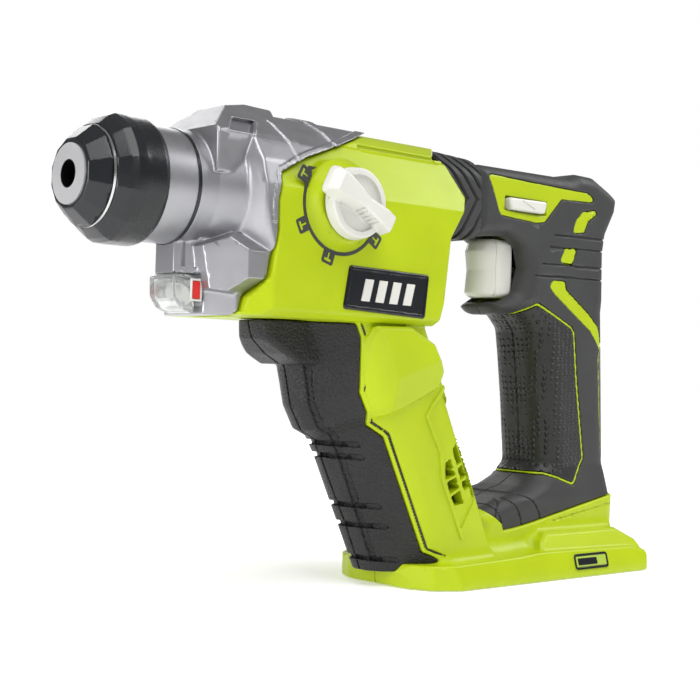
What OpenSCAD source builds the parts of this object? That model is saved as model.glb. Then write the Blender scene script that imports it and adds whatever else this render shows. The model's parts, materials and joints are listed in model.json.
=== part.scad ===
// Cordless rotary hammer with a D-shaped rear grip and a motor column, in millimetres.
// +Z is up, the nose points to -X and the foot stands on Z = 0.
// The origin is on the underside of the foot, between the motor column and the grip.

/* [Spindle] */
// Height of the spindle axis above the foot
spindle_z = 165; // [163:0.5:167]
// X of the front end of the tool holder
nose_x = -240; // [-242:0.5:-238]
// Radius of the tool socket, for a 10 mm slotted shank
socket_r = 5.05; // [5:0.01:5.2]
// Radius of the hammer barrel's bore
barrel_bore_r = 12; // [11.5:0.1:12.5]
// Radius of the neck that takes the side handle
neck_r = 22.7; // [22:0.1:22.7]

/* [Body] */
// Half the width of the green body
body_half_w = 33.5; // [32:0.5:34]
// Height of the body above the spindle axis
body_top = 33.5; // [32:0.5:34]
// Height of the body's underside
body_floor_z = 114; // [113:0.5:115]
// Wall thickness of the body
wall = 4; // [3:0.5:4]

/* [Motor column] */
// Lean of the motor axis from the vertical
column_lean = 26; // [25:0.5:27]
// Half the width of the column
column_half_w = 28; // [27:0.5:29]
// Thickness of the rubber on the front of the column
rubber_t = 2.5; // [2:0.5:3]
// Radius of the motor's case
motor_r = 18; // [17:0.5:18]

/* [Grip] */
// Half the width of the grip
grip_half_w = 18.5; // [18:0.5:19]

/* [Foot] */
// Half the width of the foot
foot_half_w = 37; // [36:0.5:38]
// Thickness of the foot
foot_t = 12; // [11:0.5:12]

/* [Gears] */
// Teeth of the spindle gear
spindle_teeth = 26; // [26:1:26]
// Teeth of the pinion on the layshaft
layshaft_teeth = 8; // [8:1:8]
// Teeth of the bevel gear on the layshaft
bevel_teeth = 20; // [20:1:20]
// Teeth of the motor pinion
motor_teeth = 8; // [8:1:8]

/* [Hidden] */

eps = 0.05;
round_fn = 64;
small_fn = 32;
facet_fn = 12;

// places along the spindle
cap_x = nose_x + 0.6;
ring_x = nose_x + 7.8;
sleeve_x = nose_x + 9;
sleeve_crease_x = nose_x + 18;
sleeve_end_x = nose_x + 30;
holder_r = 10.5;
hub_r = 14;
barrel_r = barrel_bore_r + 4;
collar_x = -211;
seal_x = -196.4;
housing_x = -195;
bulkhead_x = -158;
hammer_x = -165;
barrel_end_x = -100;
frame_x = -123;
frame_t = 6;

// gear train
gear_module = 2;
layshaft_r = 5;
layshaft_z = spindle_z - gear_module * (spindle_teeth + layshaft_teeth) / 2;
spindle_gear_x = -151;
gear_w = 9;
bevel_cone = 20.5;
bevel_face = 7;
shaft_angle = 90 - column_lean;
pinion_angle = atan2(sin(shaft_angle), bevel_teeth / motor_teeth + cos(shaft_angle));
bevel_angle = shaft_angle - pinion_angle;
addendum_angle = 3.2;
dedendum_angle = 5;
// the motor axis meets the layshaft at this X
apex_x = -114.6;
wobble_x = -86;
wobble_r = 14;
hub_ball_r = 8.6;

// the seam between the gear housing and the green body, from the top down
seam = [
    [-98, 203], [-98, 198.6], [-118, 191], [-150, 179], [-163, 172],
    [-165, 149], [-168, 131], [-180, 124], [-189, 120], [-193, 114]
];
rear_edge = [
    [-73, 114], [-65, 128], [-60, 150], [-57, 157], [-49, 173], [-64, 190], [-66, 203]
];
body_side = concat([for (i = [len(seam) - 1:-1:0]) seam[i]], [for (i = [6:-1:0]) rear_edge[i]]);
ahead_of_seam = concat([[-260, 203]], [for (p = seam) [p[0] - 0.3, p[1]]], [[-193.3, 100], [-260, 100]]);
// the plan of the green body, which narrows at the front of its floor
body_plan = [
    [-185, 0], [-185, 14], [-182, 20], [-174.5, 28], [-167, 34], [-167, 40], [-40, 40], [-40, -40],
    [-167, -40], [-167, -34], [-174.5, -28], [-182, -20], [-185, -14]
];
case_side = [[-187, 120], [-187, 190], [-176, 199.4], [-166, 203], [-90, 203], [-90, 120]];
chin_side = [
    [-196, 141.5], [-196, 131], [-186, 131], [-186, 115.5], [-165, 114.2], [-165, 150],
    [-194, 150], [-194.8, 141.5]
];
block_side = [[-190, 141], [-178, 149], [-160, 149], [-160, 124], [-180, 120], [-187, 123]];
chin_half_w = 14;

// the motor column from the side
column_side = [
    [-150, 120], [-148, 112], [-138, 96], [-128, 89], [-126, 80], [-118, 65], [-109, 55],
    [-96, 28], [-86, 6], [-26, 6], [-40, 38], [-58, 83], [-64, 100], [-66, 120]
];
rubber_region = [
    [-170, 113.7], [-119, 113.7], [-117, 109], [-116, 85], [-108, 72], [-100, 67],
    [-74, 15], [-70, 12.3], [-100, 12.3], [-170, 40]
];
column_core_side = [
    [-119, 120], [-119, 90], [-117, 80], [-113, 65], [-106, 55], [-93, 28], [-83, 6],
    [-26, 6], [-40, 38], [-58, 83], [-64, 100], [-66, 120]
];
lobe_side = [[-150, 113.7], [-148, 111], [-138, 96], [-128, 89], [-117, 88], [-117, 113.7]];

// the rear handle from the side
handle_side = [
    [-34, 192.2], [-35, 158], [-14, 161], [-3, 157], [0, 146], [-4, 135], [-16, 128],
    [4, 124], [12, 114], [16, 83], [19, 54], [10, 47], [-12, 37], [-33, 31],
    [-29, 18], [68, 18], [69, 48], [67, 84], [64, 135], [59.5, 158], [70, 179],
    [69, 188], [50, 196.2], [32, 193.6]
];
bellows_side = [[-68, 195.5], [-68, 157], [-35.3, 158.2], [-34.3, 192.2], [-46, 194]];
plate_side = [[-128, 137], [-131, 121], [-84, 119], [-82, 136]];

// the grip's fittings
trigger_z = 145.5;
trigger_h = 29;
trigger_half_w = 9.6;
trigger_gap = 0.5;
stem_r = 3;
stem_length = 19;
trigger_spring_length = 14.6;
button_z = 176;
button_x = -3;
button_length = 29;
button_h = 6;
button_half_w = 21;
switch_x = [14, 46];
switch_z = [131, 160];
battery_x = [26.5, 61.5];
battery_half_w = 13.5;
battery_top_z = 64;
terminal_h = 9;
blade_h = 8;

// spaces inside the shells
cavity_side = [[-170, 118], [-75, 118], [-69, 130], [-64, 150], [-61, 160], [-61, 200], [-170, 200]];
motor_space_side = [[-140, 24], [0, 24], [0, 121], [-140, 121]];
motor_space_d = [22, 104];
wiring_x = [-66, 52];
wiring_z = [167, 183];
wiring_half_w = 9;
stem_space_x = [19, 52];
stem_space_z = [75, 185];
stem_space_half_w = 11;
handle_bar_side = [[-64, 186], [-64, 164], [-20, 164], [-20, 186]];
handle_bar_half_w = 12;

// cooling slots: the lowest slot's place, the steps between slots, and their size
vent_place = [-64, 41];
vent_step = [10, 9];
vent_size = [6, 16, 5.5];
vent_y = 26;
vent_lean = 4;

// the mode knob
knob_x = -133;
knob_z = 162;
knob_r = 14;
knob_h = 11.2;
knob_bar = [34, 9, 13.5];
knob_bar_angle = 163;
knob_shaft_r = 5;
dial_r = 20.5;
cam_r = 8;
cam_y = 23;

// screw places, as X and Z on the grip and column, as Y and Z in the gear case
housing_screw_places = [[-70, 104], [-52, 18], [-5, 29], [44, 69], [70, 8], [58, 184]];
case_screw_places = [[26.5, 150], [-26.5, 150]];

// ---------- helpers ----------

// unit normal to the left of the edge from a to b
function left_normal(a, b) = let (d = b - a) [-d[1], d[0]] / norm(d);

// the two ends of a length that is 2 r long, with its middle at c
function around(c, r) = [c - r, c + r];

// an outline moved inwards by d, with its corners kept sharp; the outline runs anticlockwise
function inset(points, d) = [
    for (i = [0:len(points) - 1])
        let (
            before = points[(i + len(points) - 1) % len(points)],
            here = points[i],
            after = points[(i + 1) % len(points)],
            n1 = left_normal(before, here),
            n2 = left_normal(here, after)
        )
        here + d * (n1 + n2) / max(0.35, 1 + n1 * n2)
];

// a box from its two ends along X and Z, and its half width
module space(x, half_w, z) {
    translate([x[0], -half_w, z[0]])
        cube([x[1] - x[0], 2 * half_w, z[1] - z[0]]);
}

// a side outline in X and Z, made solid to half_w on both sides of the middle
module side(points, half_w) {
    rotate([90, 0, 0])
        linear_extrude(2 * half_w, center = true)
            polygon(points);
}

// the same with its outer edges stepped in by r
module soft_side(points, half_w, r) {
    side(points, half_w - 0.6 * r);
    side(inset(points, 0.6 * r), half_w);
}

// turns +Z into +X on the spindle axis
module along_spindle(x) {
    translate([x, 0, spindle_z])
        rotate([0, 90, 0])
            children();
}

module along_layshaft(x) {
    translate([x, 0, layshaft_z])
        rotate([0, 90, 0])
            children();
}

// turns +Z into the direction down the motor axis, and +X towards the nose
module along_motor(d) {
    translate([apex_x, 0, layshaft_z])
        rotate([0, 180 - column_lean, 0])
            translate([0, 0, d])
                children();
}

module ring(outer, inner, h) {
    difference() {
        cylinder(r = outer, h = h, $fn = round_fn);
        translate([0, 0, -1])
            cylinder(r = inner, h = h + 2, $fn = round_fn);
    }
}

// the body's cross-section: straight sides under an arched top
module section(half_w, top, floor_z) {
    polygon(concat(
        [[-half_w, floor_z - spindle_z], [half_w, floor_z - spindle_z]],
        [for (a = [0:12:180]) [half_w * cos(a), top * sin(a)]]
    ));
}

// that cross-section drawn out along X
module section_bar(half_w, top, floor_z, x0, x1) {
    translate([x0, 0, spindle_z])
        rotate([90, 0, 90])
            linear_extrude(x1 - x0)
                section(half_w, top, floor_z);
}

// a helical spring along +Z
module spring(coil_r, wire_r, length, turns) {
    sides = 8;
    steps = 14 * turns;
    rings = [
        for (i = [0:steps])
            let (a = 360 * turns * i / steps, z = wire_r + (length - 2 * wire_r) * i / steps)
            [for (k = [0:sides - 1])
                let (b = 360 * k / sides, r = coil_r + wire_r * cos(b))
                [r * cos(a), r * sin(a), z + wire_r * sin(b)]]
    ];
    points = [for (one = rings) for (p = one) p];
    walls = [
        for (i = [0:steps - 1]) for (k = [0:sides - 1])
            let (n = (k + 1) % sides)
            [i * sides + k, (i + 1) * sides + k, (i + 1) * sides + n, i * sides + n]
    ];
    first = [[for (k = [0:sides - 1]) k]];
    last = [[for (k = [sides - 1:-1:0]) steps * sides + k]];
    polyhedron(points, concat(walls, first, last));
}

// a toothed outline, with tapered teeth
module toothed(teeth, root_r, tip_r, root_share, tip_share) {
    pitch = 360 / teeth;
    polygon([
        for (i = [0:teeth - 1])
            for (p = [
                [root_r, -root_share / 2], [tip_r, -tip_share / 2],
                [tip_r, tip_share / 2], [root_r, root_share / 2]
            ])
                p[0] * [cos(pitch * (i + p[1])), sin(pitch * (i + p[1]))]
    ]);
}

// ---------- chuck ----------

module dust_cap() {
    color([0.1, 0.1, 0.11])
        along_spindle(cap_x)
            difference() {
                cylinder(r1 = 13.4, r2 = 19.9, h = ring_x - cap_x, $fn = facet_fn);
                translate([0, 0, -1])
                    cylinder(r = 11.7, h = 3, $fn = round_fn);
                cylinder(r = holder_r, h = 20, $fn = round_fn);
            }
}

module accent_ring() {
    color([0.75, 0.75, 0.76])
        along_spindle(ring_x)
            ring(19.6, holder_r, 1);
}

module chuck_sleeve() {
    bevel_h = sleeve_crease_x - sleeve_x;
    skirt_h = sleeve_end_x - sleeve_crease_x;
    web = 5;
    color([0.12, 0.12, 0.13])
        along_spindle(sleeve_x)
            difference() {
                union() {
                    cylinder(r1 = 19.9, r2 = 25, h = bevel_h, $fn = facet_fn);
                    translate([0, 0, bevel_h])
                        cylinder(r = 25, h = skirt_h, $fn = facet_fn);
                }
                translate([0, 0, -1])
                    cylinder(r = 12.7, h = 20, $fn = round_fn);
                translate([0, 0, web])
                    cylinder(r1 = 16, r2 = neck_r + 0.3, h = 5, $fn = round_fn);
                translate([0, 0, web + 4.9])
                    cylinder(r = neck_r + 0.3, h = 20, $fn = round_fn);
            }
}

module tool_holder() {
    color([0.74, 0.74, 0.75])
        translate([0, 0, spindle_z])
            rotate([0, 90, 0])
                difference() {
                    rotate_extrude($fn = round_fn)
                        polygon([
                            [socket_r, nose_x], [11.6, nose_x], [11.6, nose_x + 2],
                            [holder_r, nose_x + 2], [holder_r, -208], [hub_r, -208],
                            [hub_r, -190], [barrel_r, -190], [barrel_r, barrel_end_x],
                            [barrel_bore_r, barrel_end_x], [barrel_bore_r, hammer_x],
                            [7, hammer_x], [7, -178], [socket_r, -178]
                        ]);
                    for (a = [0, 180])
                        rotate([0, 0, a])
                            translate([0, 0, -220])
                                rotate([0, 90, 0])
                                    cylinder(r = 3.6, h = 20, $fn = small_fn);
                }
}

module locking_balls() {
    color([0.8, 0.8, 0.82])
        along_spindle(-220)
            for (a = [0, 180])
                rotate([0, 0, a])
                    translate([8.65, 0, 0])
                        sphere(r = 3.5, $fn = small_fn);
}

module spring_seat() {
    color([0.6, 0.6, 0.62])
        along_spindle(-214)
            ring(20, holder_r, 1.5);
}

module retaining_ring() {
    color([0.3, 0.3, 0.32])
        along_spindle(-212.4)
            ring(12.5, holder_r, 1);
}

module sleeve_spring() {
    color([0.7, 0.7, 0.72])
        along_spindle(sleeve_x + 5.1)
            spring(14.3, 0.8, 11.8, 3);
}

// ---------- neck and gear housing ----------

module neck_collar() {
    color([0.72, 0.72, 0.73])
        along_spindle(collar_x)
            ring(neck_r, 18.5, seal_x - collar_x);
}

module neck_seal() {
    color([0.08, 0.08, 0.08])
        along_spindle(seal_x)
            ring(neck_r + 0.3, 18.5, housing_x - seal_x);
}

module bearing(shaft_r, outer_r, h) {
    difference() {
        ring(outer_r, shaft_r + eps, h);
        for (z = [-0.5, h - 0.5])
            translate([0, 0, z])
                ring(outer_r - 1.2, shaft_r + 1.3, 1);
    }
}

module front_bearing() {
    color([0.7, 0.7, 0.74])
        along_spindle(-206)
            bearing(hub_r, 18.5, 8);
}

module rear_bearing() {
    color([0.7, 0.7, 0.74])
        along_spindle(frame_x)
            bearing(barrel_r, 22, frame_t);
}

module housing_neck() {
    along_spindle(0)
        rotate_extrude($fn = round_fn)
            polygon([
                [0, housing_x], [neck_r, housing_x], [neck_r + 0.2, -187],
                [28.5, -177], [32, -171], [32, -160], [0, -160]
            ]);
}

module gear_housing() {
    color([0.66, 0.67, 0.68])
        difference() {
            union() {
                intersection() {
                    side(ahead_of_seam, 40);
                    union() {
                        housing_neck();
                        intersection() {
                            side(case_side, 40);
                            section_bar(body_half_w - 0.3, body_top + 2.2, 110, -184, -90);
                        }
                        side(block_side, 31);
                    }
                }
                side(chin_side, chin_half_w);
            }
            // room for the spindle, the gears and the layshaft's front bearing
            along_spindle(-200)
                cylinder(r = barrel_r + 0.6, h = 60, $fn = round_fn);
            section_bar(body_half_w - wall, body_top - 3, 118, bulkhead_x, -80);
            along_layshaft(-166)
                cylinder(r = 9.5, h = 10, $fn = round_fn);
            for (p = case_screw_places)
                translate([-169, p[0], p[1]])
                    rotate([0, 90, 0])
                        cylinder(r = 2, h = 20, $fn = small_fn);
            // room for the lens, and the pocket for the lamp behind it
            side([[-200, 130.9], [-200, 110], [-186.1, 110], [-186.1, 130.9]], 13.1);
            translate([-188, -8, 119])
                cube([8, 16, 10]);
            // shallow window in the top
            translate([-178.5, -22, 186])
                rotate([0, -40, 0])
                    translate([0, 0, 4.8])
                        cube([9, 10, 20]);
        }
}

module gear_frame() {
    color([0.55, 0.56, 0.58])
        difference() {
            section_bar(body_half_w - wall - 0.3, body_top - 3.3, 125, frame_x, frame_x + frame_t);
            along_spindle(frame_x - 1)
                cylinder(r = 22, h = frame_t + 2, $fn = round_fn);
            along_layshaft(frame_x - 1)
                cylinder(r = 7, h = frame_t + 2, $fn = round_fn);
            for (p = case_screw_places)
                translate([frame_x - 1, p[0], p[1]])
                    rotate([0, 90, 0])
                        cylinder(r = 2.1, h = frame_t + 2, $fn = small_fn);
        }
}

module gear_case_screws() {
    color([0.35, 0.35, 0.37])
        for (p = case_screw_places)
            translate([-168, p[0], p[1]])
                rotate([0, 90, 0]) {
                    cylinder(r = 2, h = frame_x + frame_t + 168, $fn = small_fn);
                    translate([0, 0, frame_x + frame_t + 168])
                        difference() {
                            cylinder(r = 3, h = 3, $fn = small_fn);
                            translate([0, 0, 1.5])
                                cylinder(r = 1.6, h = 3, $fn = 6);
                        }
                }
}

module headlight_lens() {
    color([0.9, 0.92, 0.9, 0.5])
        difference() {
            side([[-197.5, 130.8], [-196.5, 121], [-190, 116], [-186.2, 115.5], [-186.2, 130.8]], 13);
            side([[-194.5, 128.5], [-194, 121.5], [-189, 118.5], [-180, 118.5], [-180, 128.5]], 10);
        }
}

module led_module() {
    color([0.75, 0.1, 0.08])
        translate([-188, -7.5, 119.5])
            cube([2, 15, 9]);
    color([0.95, 0.95, 0.9])
        translate([-188, 0, 124])
            rotate([0, -90, 0])
                cylinder(r = 2.5, h = 4, $fn = small_fn);
}

// ---------- hammer mechanism ----------

module spindle_gear() {
    color([0.6, 0.6, 0.62])
        along_spindle(spindle_gear_x)
            difference() {
                rotate([0, 0, 180])
                    linear_extrude(gear_w)
                        toothed(spindle_teeth, 23.6, 27.5, 0.52, 0.2);
                translate([0, 0, -1])
                    cylinder(r = barrel_r, h = gear_w + 2, $fn = round_fn);
            }
}

module impact_bolt() {
    color([0.62, 0.62, 0.64])
        along_spindle(-175) {
            cylinder(r = 6.95, h = 7.5, $fn = round_fn);
            cylinder(r = 4, h = 13.5, $fn = round_fn);
        }
}

module striker() {
    color([0.58, 0.58, 0.6])
        along_spindle(-156)
            difference() {
                cylinder(r = barrel_bore_r - eps, h = 16, $fn = round_fn);
                translate([0, 0, 7])
                    ring(20, barrel_bore_r - 1.2, 2);
            }
}

module piston() {
    color([0.7, 0.7, 0.72])
        difference() {
            union() {
                along_spindle(-130)
                    cylinder(r = barrel_bore_r - eps, h = 30, $fn = round_fn);
                along_spindle(-101)
                    cylinder(r = 6, h = 10, $fn = small_fn);
                translate([wobble_x - 7, -8, spindle_z - 6])
                    cube([14, 16, 12]);
            }
            along_spindle(-131)
                cylinder(r = 8, h = 20, $fn = small_fn);
            translate([wobble_x - 4.8, -3.3, spindle_z - 10])
                cube([9.6, 6.6, 20]);
        }
}

module wobble_ring() {
    color([0.64, 0.64, 0.66]) {
        along_layshaft(wobble_x - 4)
            difference() {
                cylinder(r = wobble_r, h = 8, $fn = round_fn);
                translate([0, 0, 4])
                    sphere(r = hub_ball_r + 0.3, $fn = round_fn);
            }
        translate([wobble_x, 0, layshaft_z + 12.5])
            cylinder(r = 3, h = 26, $fn = small_fn);
    }
}

module layshaft() {
    color([0.6, 0.6, 0.63]) {
        along_layshaft(-164)
            cylinder(r = layshaft_r, h = 90.7, $fn = round_fn);
        along_layshaft(spindle_gear_x - 1)
            rotate([0, 0, 180 / layshaft_teeth])
                linear_extrude(gear_w + 2)
                    toothed(layshaft_teeth, 5.6, 9.6, 0.62, 0.22);
        intersection() {
            along_layshaft(wobble_x)
                sphere(r = hub_ball_r, $fn = round_fn);
            along_layshaft(wobble_x - 6.2)
                cylinder(r = 20, h = 12.4, $fn = round_fn);
        }
    }
}

module bevel_blank(teeth, cone_angle, root_share, tip_share) {
    back = bevel_cone * cos(cone_angle);
    front = (bevel_cone - bevel_face) / bevel_cone;
    translate([0, 0, back])
        mirror([0, 0, 1])
            linear_extrude(back * (1 - front), scale = front)
                toothed(
                    teeth, back * tan(cone_angle - dedendum_angle),
                    back * tan(cone_angle + addendum_angle), root_share, tip_share
                );
}

module bevel_gear() {
    back = bevel_cone * cos(bevel_angle);
    color([0.62, 0.62, 0.64])
        difference() {
            along_layshaft(apex_x) {
                bevel_blank(bevel_teeth, bevel_angle, 0.56, 0.2);
                translate([0, 0, back - eps])
                    cylinder(r = 12, h = 3, $fn = round_fn);
            }
            along_layshaft(apex_x)
                cylinder(r = layshaft_r, h = 40, $fn = round_fn);
        }
}

module motor_pinion() {
    back = bevel_cone * cos(pinion_angle);
    color([0.6, 0.6, 0.62])
        difference() {
            along_motor(0)
                rotate([0, 0, 180 / motor_teeth]) {
                    bevel_blank(motor_teeth, pinion_angle, 0.56, 0.2);
                    translate([0, 0, back - eps])
                        cylinder(r = 4, h = 3, $fn = small_fn);
                }
            along_motor(10)
                cylinder(r = 2, h = 30, $fn = small_fn);
        }
}

module layshaft_bearings() {
    color([0.7, 0.7, 0.74])
        for (x = [-164, -79.3])
            along_layshaft(x)
                bearing(layshaft_r, 9.5, 6);
}

// ---------- motor ----------

module motor_mount() {
    color([0.3, 0.3, 0.32])
        difference() {
            along_motor(25)
                cylinder(r = 16, h = 4.9, $fn = round_fn);
            along_motor(20)
                cylinder(r = 7, h = 15, $fn = round_fn);
        }
}

module motor_bearings() {
    color([0.7, 0.7, 0.74]) {
        along_motor(25)
            bearing(2, 7, 4.9);
        along_motor(97)
            bearing(2, 6, 4);
    }
}

module motor_case() {
    color([0.5, 0.5, 0.52])
        difference() {
            along_motor(30)
                cylinder(r = motor_r, h = 58, $fn = round_fn);
            along_motor(32)
                cylinder(r = motor_r - 1.5, h = 60, $fn = round_fn);
            along_motor(20)
                cylinder(r = 7, h = 20, $fn = small_fn);
        }
}

module motor_magnets() {
    color([0.2, 0.2, 0.22])
        along_motor(42)
            difference() {
                ring(motor_r - 1.5, motor_r - 4.5, 32);
                for (a = [0, 90])
                    rotate([0, 0, a + 45])
                        translate([-30, -4, -1])
                            cube([60, 8, 40]);
            }
}

module rotor_shaft() {
    color([0.75, 0.75, 0.77])
        along_motor(14)
            cylinder(r = 2, h = 88, $fn = small_fn);
}

module rotor_core() {
    color([0.45, 0.3, 0.2])
        along_motor(43)
            difference() {
                cylinder(r = 12.8, h = 30, $fn = round_fn);
                translate([0, 0, -1])
                    cylinder(r = 2, h = 40, $fn = small_fn);
                for (a = [0:72:288])
                    rotate([0, 0, a])
                        translate([7, -1.2, -1])
                            cube([10, 2.4, 40]);
            }
}

module commutator() {
    color([0.75, 0.45, 0.25])
        along_motor(78)
            ring(5, 2, 9);
}

module cooling_fan() {
    color([0.15, 0.15, 0.16])
        along_motor(34)
            difference() {
                union() {
                    cylinder(r = 4.5, h = 6, $fn = small_fn);
                    for (a = [0:40:320])
                        rotate([0, 0, a])
                            translate([4, -0.6, 0])
                                cube([9, 1.2, 6]);
                }
                translate([0, 0, -1])
                    cylinder(r = 2, h = 10, $fn = small_fn);
            }
}

module brush_holder() {
    color([0.18, 0.18, 0.2])
        difference() {
            along_motor(88.1)
                cylinder(r = motor_r, h = 13, $fn = round_fn);
            along_motor(80)
                cylinder(r = 6, h = 30, $fn = round_fn);
            along_motor(80)
                cylinder(r = 13, h = 16, $fn = round_fn);
        }
}

module carbon_brushes() {
    color([0.12, 0.12, 0.12])
        along_motor(80)
            for (s = [-1, 1])
                translate([s * 9 - 3.6, -2.5, 0])
                    cube([7.2, 5, 5]);
}

// ---------- housing ----------

module column_profile(grow) {
    nose_r = 14 - grow;
    half_w = column_half_w - grow;
    rear = -30 + grow;
    polygon(concat(
        [[4, half_w], [rear + 8, half_w], [rear, half_w - 10]],
        [[rear, -half_w + 10], [rear + 8, -half_w], [4, -half_w]],
        [for (a = [-75:15:75]) [16 + nose_r * cos(a), nose_r * sin(a)]]
    ));
}

module column_bar(grow) {
    along_motor(-30)
        linear_extrude(190)
            column_profile(grow);
}

module column_solid() {
    intersection() {
        side(column_side, 40);
        column_bar(0);
    }
}

module column_core() {
    intersection() {
        side(column_core_side, 40);
        column_bar(rubber_t + 0.1);
    }
}

module foot_outline() {
    polygon(concat(
        [for (a = [90:15:270]) [-58 + 18 * cos(a), (foot_half_w - 6) * sin(a) + 6 * sin(a)]],
        [[78, -foot_half_w], [82, -foot_half_w + 5], [82, foot_half_w - 5], [78, foot_half_w]]
    ));
}

module foot() {
    intersection() {
        linear_extrude(foot_t)
            foot_outline();
        side([[-80, -1], [90, -1], [82, 3], [75, 13], [-80, 13]], 60);
    }
    side([[-32, 8], [77, 8], [74, 13.5], [60, 22.5], [-22, 20.5], [-29, 13]], 29);
}

module handle_core() {
    soft_side(inset(handle_side, rubber_t), grip_half_w - rubber_t, 4);
    side(handle_bar_side, handle_bar_half_w);
}

module green_solid() {
    difference() {
        intersection() {
            side(body_side, 40);
            section_bar(body_half_w, body_top, body_floor_z, -200, -40);
            union() {
                linear_extrude(seam[6][1])
                    polygon(body_plan);
                translate([seam[6][0] - 5, -40, seam[6][1] - 1])
                    cube([160, 80, 100]);
            }
        }
        translate([-200, -chin_half_w - 0.3, 100])
            cube([35.3, 2 * chin_half_w + 0.6, 50]);
    }
    column_core();
    difference() {
        column_solid();
        side(rubber_region, 45);
        translate([-200, -50, body_floor_z])
            cube([200, 100, 30]);
    }
    foot();
    handle_core();
}

module hollows() {
    // gear space
    intersection() {
        side(cavity_side, 40);
        section_bar(body_half_w - wall, body_top - 3, 110, -171, -55);
    }
    // room for the wobble ring to swing
    along_layshaft(wobble_x - 9)
        cylinder(r = wobble_r + 1.2, h = 18, $fn = round_fn);
    // motor space
    intersection() {
        column_bar(6);
        side(motor_space_side, 40);
    }
    along_motor(motor_space_d[0])
        cylinder(r = motor_r + 0.3, h = motor_space_d[1] - motor_space_d[0], $fn = round_fn);
    // wiring space through the top of the handle and down into the grip
    space(wiring_x, wiring_half_w, wiring_z);
    space(stem_space_x, stem_space_half_w, stem_space_z);
    // trigger pocket
    space([-22, 23], trigger_half_w + trigger_gap, around(trigger_z, trigger_h / 2 + 0.6));
    // battery socket, open to the underside of the foot
    space(battery_x, battery_half_w, [-5, battery_top_z]);
    // slot for the direction button
    space(around(button_x, button_length / 2 + 0.5), 40, around(button_z, button_h / 2 + 0.4));
    // mode knob's spindle
    translate([knob_x, 0, knob_z])
        rotate([90, 0, 0])
            cylinder(r = knob_shaft_r + 0.1, h = 60, $fn = round_fn);
    // screw holes
    for (p = housing_screw_places)
        translate([p[0], 60, p[1]])
            rotate([90, 0, 0])
                cylinder(r = 1.6, h = 72, $fn = small_fn);
    // cooling slots
    for (row = [0:2], col = [0:1], s = [-1, 1])
        translate([
            vent_place[0] + vent_step[0] * col + vent_lean * row, s * vent_y, vent_place[1] + vent_step[1] * row
        ])
            rotate([0, -column_lean, 0])
                cube(vent_size, center = true);
}

module half_housing(sign) {
    intersection() {
        difference() {
            green_solid();
            hollows();
        }
        translate([-300, sign > 0 ? 0 : -100, -10])
            cube([500, 100, 300]);
    }
}

module left_housing() {
    color([0.72, 0.84, 0.06])
        half_housing(-1);
}

module right_housing() {
    color([0.7, 0.82, 0.06])
        half_housing(1);
}

module housing_screws() {
    color([0.25, 0.25, 0.27])
        for (p = housing_screw_places)
            translate([p[0], 0, p[1]])
                rotate([90, 0, 0])
                    translate([0, 0, -10])
                        cylinder(r = 1.55, h = 20, $fn = small_fn);
}

module front_overmold() {
    color([0.16, 0.16, 0.17])
        difference() {
            union() {
                column_solid();
                intersection() {
                    side(lobe_side, 14);
                    union() {
                        translate([-136, 0, 80])
                            cylinder(r = 14, h = 40, $fn = round_fn);
                        translate([-136, -14, 80])
                            cube([30, 28, 40]);
                    }
                }
            }
            difference() {
                translate([-300, -50, -10])
                    cube([500, 100, 300]);
                side(rubber_region, 45);
            }
            column_core();
            column_bar(6);
        }
}

module grip_overmold() {
    color([0.3, 0.3, 0.31])
        difference() {
            soft_side(handle_side, grip_half_w, 5);
            soft_side(inset(handle_side, rubber_t), grip_half_w - rubber_t, 4);
            side(handle_bar_side, handle_bar_half_w);
            hollows();
            foot();
        }
}

module bellows() {
    pitch = 7;
    color([0.3, 0.3, 0.31])
        difference() {
            intersection() {
                side(bellows_side, 21);
                translate([0, 0, 150])
                    linear_extrude(50)
                        polygon(concat(
                            [for (i = [0:9]) [-67 + i * pitch / 2, i % 2 == 0 ? -21 : -18.5]],
                            [for (i = [9:-1:0]) [-67 + i * pitch / 2, i % 2 == 0 ? 21 : 18.5]]
                        ));
            }
            side([[-80, 186.3], [-80, 163.7], [-20, 163.7], [-20, 186.3]], 12.3);
            side([for (p = body_side) [p[0] + 0.3, p[1]]], 40);
        }
}

// ---------- controls ----------

module mode_dial() {
    color([0.2, 0.2, 0.2])
        translate([knob_x, -body_half_w, knob_z])
            rotate([90, 0, 0])
                ring(dial_r, 6, 0.5);
}

module mode_knob() {
    color([0.88, 0.88, 0.85])
        translate([knob_x, 0, knob_z])
            rotate([90, 0, 0]) {
                translate([0, 0, body_half_w + 0.8])
                    cylinder(r = knob_r, h = knob_h, $fn = round_fn);
                rotate([0, 0, knob_bar_angle])
                    translate([-knob_bar[0] / 2, -knob_bar[1] / 2, body_half_w + 4])
                        cube(knob_bar);
                translate([0, 0, cam_y + 3])
                    cylinder(r = knob_shaft_r, h = 10, $fn = round_fn);
            }
}

module selector_cam() {
    color([0.5, 0.5, 0.52])
        translate([knob_x, 0, knob_z])
            rotate([90, 0, 0]) {
                translate([0, 0, cam_y])
                    cylinder(r = cam_r, h = 3, $fn = round_fn);
                translate([cam_r - 3, 0, cam_y - 4])
                    cylinder(r = 2, h = 5, $fn = small_fn);
            }
}

module trigger() {
    color([0.87, 0.87, 0.84]) {
        translate([0, 0, trigger_z])
            intersection() {
                side([
                    [-20, trigger_h / 2], [-24, 8], [-22, -4], [-22, -trigger_h / 2],
                    [-1, -trigger_h / 2], [-1, trigger_h / 2]
                ], trigger_half_w);
                translate([-12, 0, 0])
                    cylinder(r = 14, h = 40, center = true, $fn = round_fn);
            }
        translate([-2, 0, trigger_z])
            rotate([0, 90, 0])
                cylinder(r = stem_r, h = stem_length, $fn = small_fn);
    }
}

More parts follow.
